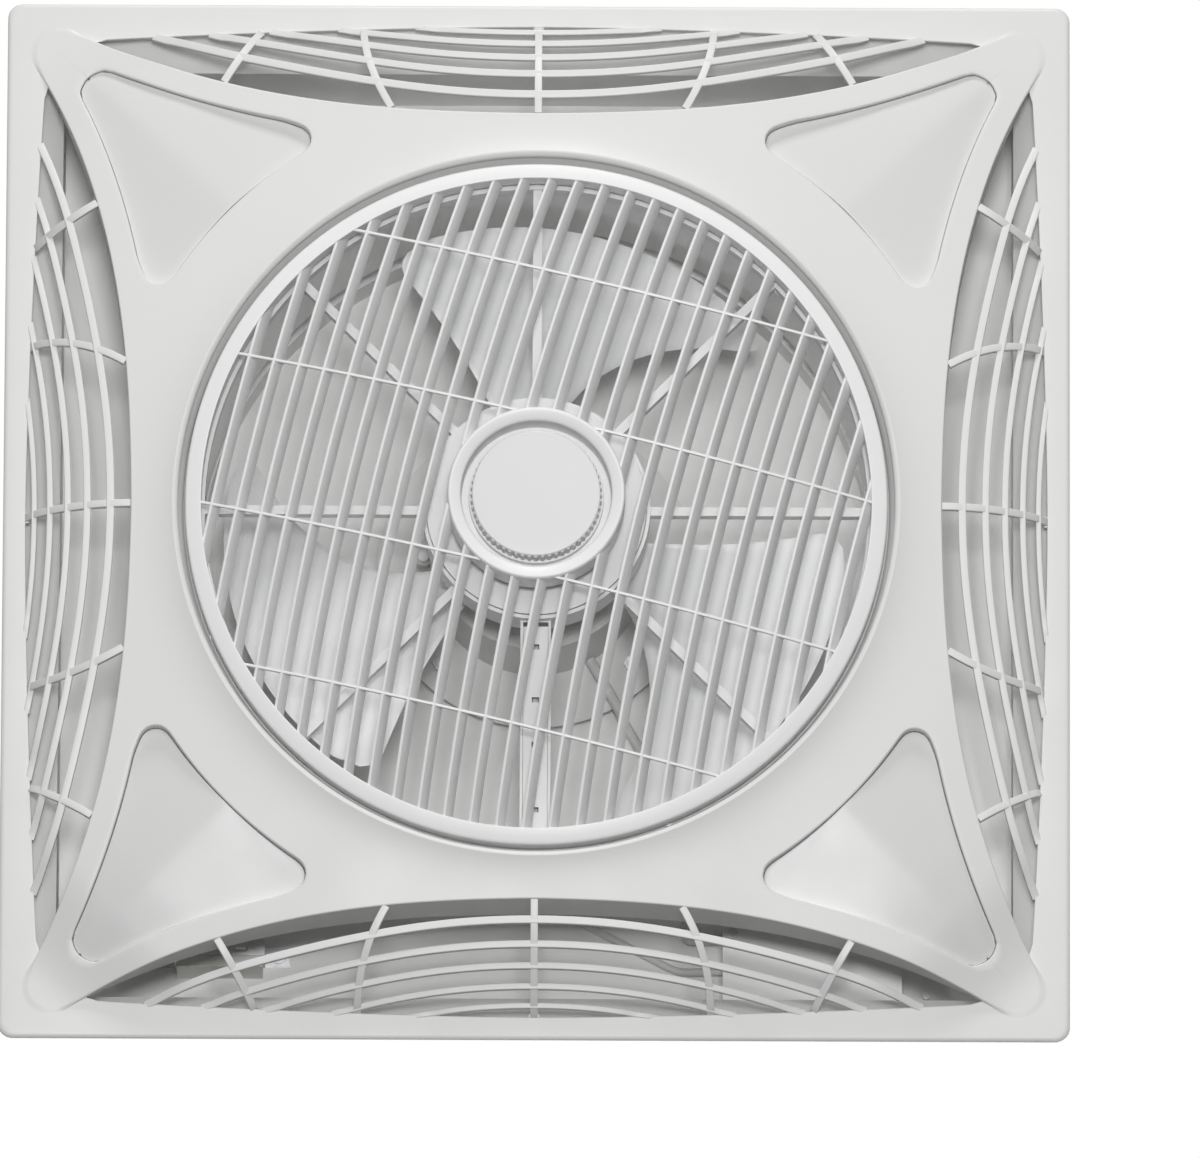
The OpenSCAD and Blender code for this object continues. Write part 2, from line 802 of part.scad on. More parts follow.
module impeller_nut() {
    color("silver") room() difference() {
        translate([0, 0, fan_hub_front]) cylinder(r = 9, h = nut_h, $fn = 6);
        translate([0, 0, fan_hub_front - 1]) cylinder(r = shaft_r + running_gap, h = nut_h + 2);
    }
}

module motor_shaft() {
    color("silver") room() translate([0, 0, plate_front + case_wall + 1])
        cylinder(r = shaft_r, h = fan_hub_front + nut_h + 1 - plate_front - case_wall - 1);
}

module rotor_core() {
    color("darkgray") room()
        tube(stator_in_r - 0.5, shaft_r + running_gap, core_back, core_front);
}

module motor_bearings() {
    color("silver") room() {
        tube(bearing_r, shaft_r + running_gap, plate_front + case_wall, plate_front + case_wall + bearing_h);
        tube(bearing_r, shaft_r + running_gap, case_front - case_wall - bearing_h, case_front - case_wall);
    }
}

module stator_core() {
    color("dimgray") room()
        tube(motor_r - case_wall - 0.1, stator_in_r, core_back, core_front);
}

module stator_windings() {
    color("chocolate") room() {
        tube(motor_r - case_wall - 4, stator_in_r + 4, core_back - winding_h, core_back);
        tube(motor_r - case_wall - 4, stator_in_r + 4, core_front, core_front + winding_h);
    }
}

module case_ears(c1, c2) {
    for (t = [0, 90, 180, 270]) difference() {
        pin(place(case_screw_place, t), case_ear_r, c1, c2);
        translate([0, 0, c1 - 1]) cylinder(r = motor_r - 1, h = c2 - c1 + 2);
    }
}

module motor_case_front() {
    color("gray") room() difference() {
        union() {
            difference() {
                translate([0, 0, case_split]) cylinder(r = motor_r, h = case_front - case_split);
                translate([0, 0, case_split - 1])
                    cylinder(r = motor_r - case_wall, h = case_front - case_split + 1 - case_wall);
            }
            tube(bearing_r + 3, bearing_r + running_gap, case_front - case_wall - bearing_h, case_front - 1);
            case_ears(case_split, case_split + case_ear_h);
        }
        pin([0, 0], shaft_r + 1, case_front - 10, case_front + 10);
        for (t = [0, 90, 180, 270])
            pin(place(case_screw_place, t), 1.6, case_split - 10, case_split + 10);
    }
}

module motor_case_rear() {
    color("gray") room() difference() {
        union() {
            difference() {
                translate([0, 0, plate_front]) cylinder(r = motor_r, h = case_split - plate_front);
                translate([0, 0, plate_front + case_wall])
                    cylinder(r = motor_r - case_wall, h = case_split - plate_front);
            }
            tube(bearing_r + 3, bearing_r + running_gap,
                plate_front + 1, plate_front + case_wall + bearing_h);
            case_ears(case_split - case_ear_h, case_split);
            for (t = [45:90:315])
                pin(place(motor_bolt_place, t), 5, plate_front, plate_front + 10);
        }
        for (t = [0, 90, 180, 270])
            pin(place(case_screw_place, t), 1.6, case_split - 10, case_split + 10);
        for (t = [45:90:315])
            pin(place(motor_bolt_place, t), screw_r + screw_gap, plate_front - 1, plate_front + 9);
    }
}

module case_screws() {
    color("silver") room() for (t = [0, 90, 180, 270])
        screw(place(case_screw_place, t), case_split + case_ear_h, 2 * case_ear_h, 1.5, 3);
}

module motor_screws() {
    color("silver") room() for (t = [45:90:315])
        screw(place(motor_bolt_place, t), plate_back, 10, up = -1);
}

module motor_plate() {
    color("silver") room() difference() {
        translate([0, 0, plate_back]) cylinder(r = plate_r, h = plate_t);
        pin([0, 0], 20, plate_back - 5, plate_front + 5);
        for (t = [45:90:315]) {
            pin(place(motor_bolt_place, t), screw_r + screw_gap, plate_back - 5, plate_front + 5);
            pin(place(mount_place, t), mount_bolt_r + screw_gap, plate_back - 5, plate_front + 5);
        }
    }
}

module rubber_mounts() {
    color("black") room() for (t = [45:90:315]) translate(around(mount_place, t, 0))
        tube(mount_r, mount_bolt_r + screw_gap, well_floor, plate_back);
}

module mount_bolts() {
    color("silver") room() for (t = [45:90:315])
        screw(place(mount_place, t), well_floor - sheet, sheet + mount_h + plate_t + 5, mount_bolt_r, 5, -1);
}

module mount_nuts() {
    color("silver") room() for (t = [45:90:315]) translate(around(mount_place, t, 0)) difference() {
        translate([0, 0, plate_front]) cylinder(r = 4.6, h = 4, $fn = 6);
        pin([0, 0], mount_bolt_r + running_gap, plate_front - 1, plate_front + 5);
    }
}

module motor_lead() {
    angle = -60;
    well_c = well_floor + motor_lead_r + 0.1;
    floor_c = floor_front + motor_lead_r + 0.1;
    rise_r = well_r - sheet - motor_lead_r - 1.5;
    color("black") room() cable([
        around(motor_r + 0.2, angle, plate_front + 6),
        around(plate_r + 6, angle, plate_front + 6),
        around(plate_r + 6, angle, well_c),
        around(rise_r, angle, well_c),
        around(rise_r, angle, floor_c),
        [box_at[0] - 22, motor_inlet_b, floor_c],
        [box_at[0] - 8, motor_inlet_b, wire_c(motor_lead_r)],
        [box_at[0] + box_wall + 3, motor_inlet_b, wire_c(motor_lead_r)]
    ], motor_lead_r, [cos(30), sin(30), 0]);
}

// Half the width of the housing's mouth, which widens from the walls to the panel's back
function mouth_at(c) =
    housing_half + (mouth_half - housing_half) * (c + mouth_depth) / (mouth_depth - panel_wall);

module mouth(g, c1, c2) {
    side = [for (p = [[-1, c1], [1, c1], [1, c2], [-1, c2]]) [p[0] * (mouth_at(p[1]) - g), p[1]]];
    intersection() {
        rotate([90, 0, 0]) linear_extrude(2 * panel_w, center = true) polygon(side);
        rotate([90, 0, 90]) linear_extrude(2 * panel_w, center = true) polygon(side);
    }
}

module rear_housing() {
    color("whitesmoke") room() difference() {
        union() {
            difference() {
                union() {
                    rounded_slab(housing_w, housing_corner_r, -floor_back, -mouth_depth);
                    mouth(0, -mouth_depth, -panel_wall);
                }
                rounded_slab(housing_w - 2 * sheet, housing_corner_r - sheet, floor_front, -mouth_depth);
                mouth(sheet, -mouth_depth - 1, 1);
                translate([0, 0, -floor_back - 1]) cylinder(r = well_r - sheet, h = sheet + 2);
            }
            tube(well_r, well_r - sheet, well_floor - sheet, floor_front);
            translate([0, 0, well_floor - sheet]) cylinder(r = well_r - 1, h = sheet);
            for (q = [0:3]) rotate(90 * q)
                pin([pad_place, pad_place], post_r, floor_front - 0.5, -panel_wall);
        }
        for (q = [0:3]) rotate(90 * q) {
            pin([pad_place, pad_place], screw_r + screw_gap, -28, 0);
            for (x = [-1, 1]) pin(bracket_screw_place(x), screw_r + screw_gap, -120, -90);
        }
        for (t = [45:90:315])
            pin(place(mount_place, t), mount_bolt_r + screw_gap, well_floor - 10, well_floor + 10);
        for (x = strap_screw_places()) pin(x, screw_r + screw_gap, -120, -90);
        translate([gland_a, -housing_half + 5, gland_c]) rotate([90, 0, 0])
            cylinder(r = gland_r + screw_gap, h = 20);
    }
}

// The two screws of a bracket, seen from its own corner
function bracket_screw_place(x) = [
    hanger_span / 2 + bracket_screw_gap * x,
    hanger_span / 2 - bracket_reach + bracket_screw_inset
];

module suspension_brackets() {
    wall = -bracket_reach + bracket_foot - bracket_t;
    color("silver") room() for (q = [0:3]) rotate(90 * q) difference() {
        translate([hanger_span / 2 - bracket_w / 2, hanger_span / 2, -floor_back]) {
            translate([0, -bracket_reach, -bracket_t]) cube([bracket_w, bracket_foot, bracket_t]);
            translate([0, wall, -bracket_h]) cube([bracket_w, bracket_t, bracket_h]);
            translate([0, wall, -bracket_h]) cube([bracket_w, bracket_nose - wall, bracket_t]);
        }
        pin([hanger_span / 2, hanger_span / 2], hanger_hole_r,
            -floor_back - bracket_h - 5, -floor_back - bracket_h + 5);
        for (x = [-1, 1])
            pin(bracket_screw_place(x), screw_r + screw_gap, -floor_back - 5, -floor_back + 5);
    }
}

module bracket_screws() {
    color("silver") room() for (q = [0:3]) rotate(90 * q) for (x = [-1, 1])
        screw(bracket_screw_place(x), -floor_back - bracket_t, 8, up = -1);
}

module capacitor() {
    color("ivory") room() translate(cap_at) {
        cube(cap_size);
        for (x = [12, 36]) translate([x - 3, 9, cap_size[2]]) cube([6, 1, 8]);
    }
}

function strap_screw_places() = [
    [cap_at[0] - 9, cap_at[1] + cap_size[1] / 2],
    [cap_at[0] + cap_size[0] + 9, cap_at[1] + cap_size[1] / 2]
];

module capacitor_strap() {
    gap = 0.1;
    t = 1.2;
    color("silver") room() difference() {
        translate(cap_at + [0, cap_size[1] / 2 + 2, 0]) {
            translate([-gap - t, -8, 0]) cube([t, 9, cap_size[2] + gap + t]);
            translate([cap_size[0] + gap, -8, 0]) cube([t, 9, cap_size[2] + gap + t]);
            translate([-gap - t, -8, cap_size[2] + gap]) difference() {
                cube([cap_size[0] + 2 * gap + 2 * t, 9, t]);
                for (x = [12, 36]) translate([x - 3 + gap + t - 1, 2, -1]) cube([8, 10, 4]);
            }
            translate([-15, -8, 0]) cube([15 - gap, 12, t]);
            translate([cap_size[0] + gap, -8, 0]) cube([15 - gap, 12, t]);
        }
        for (x = strap_screw_places()) pin(x, screw_r + screw_gap, -120, -90);
    }
}

module strap_screws() {
    color("silver") room() for (x = strap_screw_places()) screw(x, floor_front + 1.2, 4);
}

module control_box() {
    color("white") room() difference() {
        union() {
            translate(box_at) difference() {
                cube(box);
                translate([box_wall, box_wall, box_wall])
                    cube(box - [2 * box_wall, 2 * box_wall, 0]);
            }
            for (p = board_corners())
                pin(p, 3, box_at[2] + box_wall - 0.5, box_at[2] + box_wall + standoff_h);
            for (p = lid_screw_places()) pin(p, 4, box_at[2] + box_wall - 0.5, box_at[2] + box[2]);
        }
        for (p = lid_screw_places()) pin(p, 1.6, box_at[2] + 20, box_at[2] + 60);
        for (p = board_corners()) pin(p, 1.1, box_at[2] + 4, box_at[2] + 20);
        wire_hole(louver_inlet_b, louver_lead_r);
        wire_hole(motor_inlet_b, motor_lead_r);
        translate([gland_a, box_at[1] + 5, gland_c]) rotate([90, 0, 0])
            cylinder(r = gland_r + screw_gap, h = 20);
    }
}

// A lead enters the control box just above the box's floor
function wire_c(r) = box_at[2] + box_wall + r + fit_gap;

module wire_hole(b, r) {
    translate([box_at[0] - 5, b, wire_c(r)]) rotate([0, 90, 0])
        cylinder(r = r + fit_gap, h = 10, $fn = 32);
}

function board_corners() = [
    for (x = [14, box[0] - 14], y = [16, box[1] - 10]) [box_at[0] + x, box_at[1] + y]
];
function lid_screw_places() = [
    for (x = [5.5, box[0] - 5.5]) [box_at[0] + x, box_at[1] + box[1] / 2 + 10]
];

module control_box_lid() {
    color("white") room() difference() {
        translate(box_at + [0, 0, box[2]]) cube([box[0], box[1], box_lid_t]);
        for (p = lid_screw_places()) pin(p, 1.7, box_at[2] + 20, box_at[2] + 60);
    }
}

module lid_screws() {
    color("silver") room() for (p = lid_screw_places())
        screw(p, box_at[2] + box[2] + box_lid_t, 10, 1.5, 3);
}

module control_board() {
    top = box_at[2] + box_wall + standoff_h;
    color("green") room() {
        translate([box_at[0] + 10, box_at[1] + 12, top]) cube([box[0] - 20, box[1] - 18, board_t]);
        translate([box_at[0] + 16, box_at[1] + 20, top + 1]) cube([18, 14, 15]);
        translate([box_at[0] + 38, box_at[1] + 22, top + 1]) cube([10, 10, 12]);
        pin([box_at[0] + 80, box_at[1] + 26], 5, top + 1, top + 17);
        for (p = board_corners()) pin(p, 1, top - 3, top + board_t + 0.8);
    }
}

module terminal_block() {
    top = box_at[2] + box_wall + standoff_h + board_t;
    color("ivory") room() difference() {
        translate([box_at[0] + 30, box_at[1] + 38, top]) cube([42, 13, 14]);
        for (i = [0:4])
            pin([box_at[0] + 35 + 8 * i, box_at[1] + 44.5], 2.2, top + 6, top + 20);
    }
}

module cable_gland() {
    wall = -housing_half;
    color("black") room() translate([gland_a, wall, gland_c]) rotate([90, 0, 0]) difference() {
        union() {
            cylinder(r = gland_flange_r, h = gland_flange_h);
            translate([0, 0, -gland_reach]) cylinder(r = gland_r, h = gland_reach + 1);
        }
        translate([0, 0, -gland_reach - 1]) cylinder(r = gland_bore_r, h = gland_reach + 20);
    }
}

module gland_nut() {
    color("black") room() translate([gland_a, -housing_half + sheet, gland_c]) rotate([-90, 0, 0])
        difference() {
            cylinder(r = gland_flange_r - 0.5, h = box_gap - 0.3, $fn = 6);
            translate([0, 0, -1]) cylinder(r = gland_r + running_gap, h = 8);
        }
}

front_panel();
side_grille_xp();
side_grille_yn();
side_grille_xn();
side_grille_yp();
corner_cover_xp_yn();
corner_cover_xn_yn();
corner_cover_xn_yp();
corner_cover_xp_yp();
panel_screws();
air_duct();
duct_screws();
spider_frame();
spider_screws();
hub_cover();
channel_cover();
louver_motor();
louver_motor_screws();
louver_lead();
louver_shaft();
louver_grille();
hub_knob();
fan_impeller();
impeller_nut();
motor_shaft();
rotor_core();
motor_bearings();
stator_core();
stator_windings();
motor_case_front();
motor_case_rear();
case_screws();
motor_screws();
motor_plate();
rubber_mounts();
mount_bolts();
mount_nuts();
motor_lead();
rear_housing();
suspension_brackets();
bracket_screws();
capacitor();
capacitor_strap();
strap_screws();
control_box();
control_box_lid();
lid_screws();
control_board();
terminal_block();
cable_gland();
gland_nut();
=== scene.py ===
# %% [markdown]
# # A drop ceiling fan, dressed for its photograph
#
# The fan lies in one opening of a tile ceiling. From the room we see a square panel of white
# moulded plastic. Air goes in through four curved side grilles, round the back of a duct, through
# three milky blades and out through a round louver that turns slowly.
#
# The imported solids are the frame, and they give every place and size. Each solid could simply be
# given a finish, but then the panel's soft edges and the slats' roundings would be missing. So
# this notebook lays finer surfaces over the pieces that show, and gives a finish to the rest.

# %% The frame
import json

import bmesh
import bpy
import numpy as np
from mathutils import Matrix, Vector


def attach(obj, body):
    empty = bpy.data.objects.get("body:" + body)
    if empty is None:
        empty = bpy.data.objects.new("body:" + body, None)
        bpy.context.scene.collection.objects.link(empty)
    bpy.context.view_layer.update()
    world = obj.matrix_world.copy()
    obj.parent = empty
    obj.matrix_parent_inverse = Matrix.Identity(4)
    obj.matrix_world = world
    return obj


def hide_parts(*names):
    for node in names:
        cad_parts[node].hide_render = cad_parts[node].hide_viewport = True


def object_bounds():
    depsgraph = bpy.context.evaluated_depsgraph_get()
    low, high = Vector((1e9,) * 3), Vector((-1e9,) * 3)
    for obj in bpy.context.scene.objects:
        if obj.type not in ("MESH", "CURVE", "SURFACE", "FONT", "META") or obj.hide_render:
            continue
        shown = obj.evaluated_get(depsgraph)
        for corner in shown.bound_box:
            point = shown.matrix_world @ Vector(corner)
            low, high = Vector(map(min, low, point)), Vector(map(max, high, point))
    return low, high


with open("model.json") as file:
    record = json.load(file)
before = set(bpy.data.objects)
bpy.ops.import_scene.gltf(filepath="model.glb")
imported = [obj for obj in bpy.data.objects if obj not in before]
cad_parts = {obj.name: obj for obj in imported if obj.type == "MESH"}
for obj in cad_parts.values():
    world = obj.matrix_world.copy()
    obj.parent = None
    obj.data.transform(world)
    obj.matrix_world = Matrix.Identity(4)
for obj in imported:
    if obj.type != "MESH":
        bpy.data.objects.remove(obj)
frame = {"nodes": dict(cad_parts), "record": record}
nodes = frame["nodes"]
cad_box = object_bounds()
cad_size = [round(n, 3) for n in cad_box[1] - cad_box[0]]
print("the frame has", len(nodes), "nodes and is", cad_size, "m")

# %% [markdown]
# ## Bench coordinates
#
# The panel is easiest to describe lying face up on a bench: a goes right, b goes away from us and
# c goes up from the flange, all in millimetres. Turning that over gives the fan in its ceiling,
# where +Z points to the slab: X is a, Y is minus b and Z is minus c. The pieces could be turned
# as objects instead, but a finished piece has to sit unturned at the origin. It is a plain half
# turn about X, so nothing gets mirrored.

# %% From the bench to the ceiling
BENCH_TO_FRAME = np.array([0.001, -0.001, -0.001])


def in_ceiling(points):
    """Bench points in millimetres to points of the frame in metres:
    (a, b, c) becomes (a, -b, -c) / 1000."""
    return np.asarray(points, float) * BENCH_TO_FRAME


def stack(*axes):
    """Arrays of a, b and c, spread to one shape, as one array of points."""
    return np.stack(np.broadcast_arrays(*axes), -1).astype(float)


print("the bench's highest point, c = 62 mm, lies at Z =", in_ceiling([0, 0, 62])[2], "m")

# %% [markdown]
# ## Grids to meshes
#
# Every new surface here is a grid of points, worked out by a formula. Modelling by hand would do
# as well, but a formula keeps the panel the same on all four sides. Four neighbours of the grid
# make one face. A closed direction, such as the way round a ring, joins its last row to its
# first. Grids that meet share their border points, so that merging doubles sews them together.

# %% Mesh helpers
def grid_faces(rows, columns, round_rows=False, round_columns=False, flip=False):
    """Faces of a grid: the corner numbers of each small square, as whole arrays."""
    i, j = np.meshgrid(
        np.arange(rows if round_rows else rows - 1),
        np.arange(columns if round_columns else columns - 1),
        indexing="ij",
    )
    i_next, j_next = (i + 1) % rows, (j + 1) % columns
    row, next_row = i * columns, i_next * columns
    corners = [row + j, next_row + j, next_row + j_next, row + j_next]
    faces = np.stack(corners, -1).reshape(-1, 4)
    return faces[:, ::-1] if flip else faces


class Surface:
    """Collects grids of bench points, and makes one mesh of them."""

    def __init__(self):
        self.points, self.faces, self.count = [], [], 0

    def grid(self, points, **kind):
        """Adds a grid of points, an array of rows by columns by 3."""
        points = np.asarray(points, float)
        rows, columns = points.shape[:2]
        self.faces += (grid_faces(rows, columns, **kind) + self.count).tolist()
        self.points.append(points.reshape(-1, 3))
        self.count += rows * columns
        return self

    def tube(self, rings):
        """A closed bar: rings of points along a path, with a flat cap at each end."""
        rows, columns = rings.shape[:2]
        first = self.count
        self.grid(rings, round_columns=True)
        self.faces.append(list(range(first, first + columns)))
        last = first + (rows - 1) * columns
        self.faces.append(list(range(last, last + columns))[::-1])

    def eight_ways(self, points):
        """A grid of an eighth of the panel, in all the eight places that the square has for it."""
        for turn in range(4):
            for side in (1, -1):
                a, b = points[..., 0] * side, points[..., 1]
                for _ in range(turn):
                    a, b = -b, a
                self.grid(stack(a, b, points[..., 2]), flip=side < 0)
        return self


def make_piece(name, surface, wall=0.0, sharp=40, up=None):
    """One object from a Surface: points closer than 0.004 mm are merged and faces turned outwards.
    An open skin faces `up` along Z, 1 or -1, and gets a wall on its back. Shading is smooth, with
    edges kept sharp where faces meet at more than `sharp` degrees."""
    mesh = bpy.data.meshes.new(name)
    mesh.from_pydata(in_ceiling(np.concatenate(surface.points)).tolist(), [], surface.faces)
    piece = bpy.data.objects.new(name, mesh)
    bpy.context.scene.collection.objects.link(piece)
    sewn = bmesh.new()
    sewn.from_mesh(mesh)
    bmesh.ops.remove_doubles(sewn, verts=sewn.verts, dist=4e-6)
    bmesh.ops.dissolve_degenerate(sewn, dist=1e-6, edges=sewn.edges)
    bmesh.ops.recalc_face_normals(sewn, faces=sewn.faces)
    if up is not None:
        facing = sum((face.normal.z * face.calc_area() for face in sewn.faces), 0.0)
        if facing * up < 0:
            bmesh.ops.reverse_faces(sewn, faces=sewn.faces)
    sewn.to_mesh(mesh)
    sewn.free()
    if wall:
        thick = piece.modifiers.new("wall", "SOLIDIFY")
        thick.thickness, thick.offset = wall * 0.001, -1
        graph = bpy.context.evaluated_depsgraph_get()
        walled = bpy.data.meshes.new_from_object(piece.evaluated_get(graph))
        piece.modifiers.clear()
        piece.data = walled
    piece.data.shade_smooth()
    piece.data.set_sharp_from_angle(angle=np.radians(sharp))
    print(name, "has", len(piece.data.polygons), "faces")
    return piece


def dress(piece, body, slot, material, *replaced):
    """The piece rides on a body, takes a finish, and replaces the solids named. The slot is not
    used.
    """
    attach(piece, body)
    if replaced:
        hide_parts(*replaced)
    piece.data.materials.clear()
    piece.data.materials.append(material)


print("a grid of 3 by 3 points has", len(grid_faces(3, 3)), "faces")

# %% [markdown]
# ## Curves along which the panel is cut
#
# The outlines have arcs, straight stretches and soft corners. A curve object with many handles
# could follow them. A dense run of points, each averaged with its neighbours, is simpler and
# rounds every corner alike. Half an outline is enough, because the panel is the same on both
# sides of a middle line and of a diagonal. The ends are mirrored there before the averaging.

# %% Curve helpers
def lengths(points):
    """Distance along a run of points, from its first."""
    return np.concatenate([[0], np.cumsum(np.linalg.norm(np.diff(points, axis=0), axis=1))])


def along(points, at):
    """Points of a run at the given distances along it."""
    run = lengths(points)
    return np.stack([np.interp(at, run, points[:, k]) for k in range(points.shape[1])], -1)


def evened(points, reach, start="middle", step=0.5):
    """Half an outline, averaged twice over `reach` mm. It starts on the middle line or on the
    diagonal, and ends on the diagonal."""
    points = along(points, np.arange(0, lengths(points)[-1], step))
    before = points[1:][::-1] * [-1, 1] if start == "middle" else points[1:][::-1][:, ::-1]
    after = points[:-1][::-1][:, ::-1]
    whole = np.concatenate([before, points, after])
    width = int(reach / step) | 1
    kernel = np.ones(width) / width
    for _ in range(2):
        whole = np.stack([np.convolve(whole[:, k], kernel, "same") for k in range(2)], -1)
    half = whole[len(before) : len(before) + len(points)]
    half[-1] = half[-1].mean()
    if start == "middle":
        half[0, 0] = 0
    else:
        half[0] = half[0].mean()
    return half


def moved(points, distance):
    """A run moved sideways in plan, to its left when distance is positive."""
    tangent = np.gradient(points, axis=0)
    tangent /= np.linalg.norm(tangent, axis=1, keepdims=True)
    return points + distance * tangent[:, ::-1] * [-1, 1]


def samples(points, stops, counts):
    """Points of a run in several stretches, each between two stops (distances along the run)."""
    stretches = zip(stops[:-1], stops[1:], counts)
    at = [np.linspace(start, stop, count, endpoint=False) for start, stop, count in stretches]
    return along(points, np.concatenate(at + [[stops[-1]]]))


def nearest(points, place):
    """Distance along a run of its point that lies nearest to a place."""
    return lengths(points)[np.argmin(np.linalg.norm(points - np.asarray(place), axis=1))]


def circle(turn):
    """Points of the unit circle at angles in radians: (cos turn, sin turn)."""
    return np.stack([np.cos(turn), np.sin(turn)], -1)


def arc(centre, radius, start, end, count=40):
    """Points of an arc, with its angles in degrees."""
    return np.asarray(centre) + radius * circle(np.radians(np.linspace(start, end, count)))


def blend_step(x):
    """The smooth step 3x^2 - 2x^3 between 0 and 1."""
    x = np.clip(x, 0, 1)
    return x * x * (3 - 2 * x)


quarter = lengths(arc([0, 0], 10, 0, 90))[-1]
print("a quarter circle of radius 10 mm is", round(quarter, 2), "mm long")

# %% [markdown]
# ## The shape of the panel
#
# The panel is a shallow dome with a lip round the opening. It runs out into four arms like a
# star, and the dome flattens out towards their tips, so that they sink into the corners of the
# flat rim with hardly an edge. Two formulas hold all of it: star_p gives the star's outline along
# one side, and dome_c the height at any place. Everything on the panel is laid on those two. A
# sculpted mesh could look the same, but it couldn't be asked for the height of a bar or a cover.
# ARM is how far from the middle of a side an arm's curves have swept all their way.

# %% Panel formulas
HALF = 297.5
OPENING = 199.3
WALL_DOWN = -2.8
ARM = 244.0
STAR_MID, STAR_SWEEP, STAR_POWER, STAR_BULGE = 225.6, 46.8, 2.65, 1.2
RIM_MID, RIM_MORE, RIM_POWER = 12.6, 8.4, 1.6
LIP_TOP, LIP_FALL, LIP_SPREAD = 43.0, 6.5, 12.0
DOME_FALL, DOME_RUN, DOME_POWER = 18.6, 130.7, 1.42
TIP_FROM, TIP_TO, TIP_FALL, TIP_SLOPE = 325.0, 388.0, 18.3, 0.1988
TIP_CENTRE, TIP_R, STAR_SOFT = 268.5, 13.0, 7.0
WINDOW_END = 250.5


def star_p(s):
    """The star's edge at s along a side, as a distance from the panel's middle:
    225.6 + 46.8 (|s| / 244)^2.65, and 1.2 sin(pi |s| / 244) more."""
    bulge = STAR_BULGE * np.sin(np.pi * np.minimum(np.abs(s), ARM) / ARM)
    return STAR_MID + STAR_SWEEP * (np.abs(s) / ARM) ** STAR_POWER + bulge


def rim_p(s):
    """The rim's inner edge: the rim is 12.6 mm wide, and 8.4 (|s| / 244)^1.6 wider outwards."""
    return HALF - RIM_MID - RIM_MORE * (np.abs(s) / ARM) ** RIM_POWER


def dome_c(a, b):
    """Height of the dome at a distance r from the axis: 43 mm at the opening, less a lip of
    6.5 mm that falls away over 12 mm, less 18.6 ((r - 199.3) / 130.7)^1.42. From r = 325 mm a
    cubic takes over, which goes on at the same slope and levels off at 0.6 mm, at r = 388 mm."""
    r = np.hypot(a, b)
    lip = LIP_FALL * (1 - np.exp(-np.maximum(0, r - OPENING) / LIP_SPREAD))
    fall = DOME_FALL * (np.clip(r - OPENING, 0, TIP_FROM - OPENING) / DOME_RUN) ** DOME_POWER
    reach = TIP_TO - TIP_FROM
    u = np.clip((r - TIP_FROM) / reach, 0, 1)
    level = TIP_FALL * blend_step(u) + TIP_SLOPE * reach * u * (1 - u) ** 2
    return LIP_TOP - lip - fall - level


def on_dome(plan):
    """Plan points (a, b), lifted to the dome's height."""
    return stack(plan[..., 0], plan[..., 1], dome_c(plan[..., 0], plan[..., 1]))


s_run = np.linspace(0, 255, 500)
star_side = np.stack([s_run, star_p(s_run)], -1)
star_tip = arc([TIP_CENTRE, TIP_CENTRE], TIP_R, 95, 45, 30)
star_half = evened(np.concatenate([star_side, star_tip]), STAR_SOFT)
print("half a side of the star is", round(lengths(star_half)[-1], 1), "mm long")

# %% [markdown]
# ## Outline of a corner cover
#
# A cover has three sides: an arc along the opening and two sides beside the star's edge. Its two
# inner corners are tight, and its outer tip is rounder. Half of it is drawn, from the middle of
# the arc to the tip, and the diagonal mirrors it. The side could be a curve of its own, but the
# real cover keeps the same distance from the star's edge, so it is the star's formula less 15 mm.

# %% Cover outline
COVER_ARC, ARC_END = 242.0, 56.5
COVER_TIP, COVER_INSET, COVER_SOFT = 243.0, 15.0, 5.0

side_s = np.linspace(142, COVER_TIP, 60)
cover_parts = [
    arc([0, 0], COVER_ARC, 45, ARC_END),
    arc([136, 211], 9, 237, 102),
    np.stack([side_s, star_p(side_s) - COVER_INSET], -1),
    arc([COVER_TIP, COVER_TIP], TIP_R, 84, 45),
]
cover_half = evened(np.concatenate(cover_parts), COVER_SOFT, "diagonal")
print("half a cover's outline is", round(lengths(cover_half)[-1], 1), "mm long")

# %% [markdown]
# ## The panel's skin
#
# An eighth of the panel is two grids. One goes round the opening, from the lip to the star's edge
# or the cover's arc. The other runs along an arm, between the star's edge and the cover. Cutting
# the holes out of one dome with a Boolean modifier would be quicker, but it leaves ragged edges.
# Here each border is a row of the grid and gets a rounded edge: a profile, a quarter of an
# ellipse and a wall, carried along the border. The eight copies are sewn and get a wall on their
# back.

# %% Rounded edges
def edge_rows(run, inward, top, bottom, radius, steps=5, soft=0.0):
    """Rows that turn down from a run's edge. Row k goes out by radius sin t and down by
    radius (1 - cos t), for t up to a right angle, and the last row is the wall's foot. Where
    `soft` is 1 the curve is a gentle S instead, which levels off at the foot."""
    tangent = np.gradient(run, axis=0)
    tangent /= np.linalg.norm(tangent, axis=1, keepdims=True)
    out = tangent[:, ::-1] * [-1, 1] * inward
    radius, soft = np.broadcast_to(radius, len(run)), np.broadcast_to(soft, len(run))
    drop = np.maximum(top - bottom, 0.02)
    drop = np.minimum(radius, drop) * (1 - soft) + drop * soft
    rows = []
    for share in np.linspace(0, 1, steps + 1)[1:]:
        t = share * np.pi / 2
        side = radius * (np.sin(t) * (1 - soft) + share * soft)
        down = drop * ((1 - np.cos(t)) * (1 - soft) + share**2 * (3 - 2 * share) * soft)
        rows.append(stack(*(run + side[:, None] * out).T, top - down))
    rows.append(stack(*(run + radius[:, None] * out).T, bottom))
    return np.array(rows)


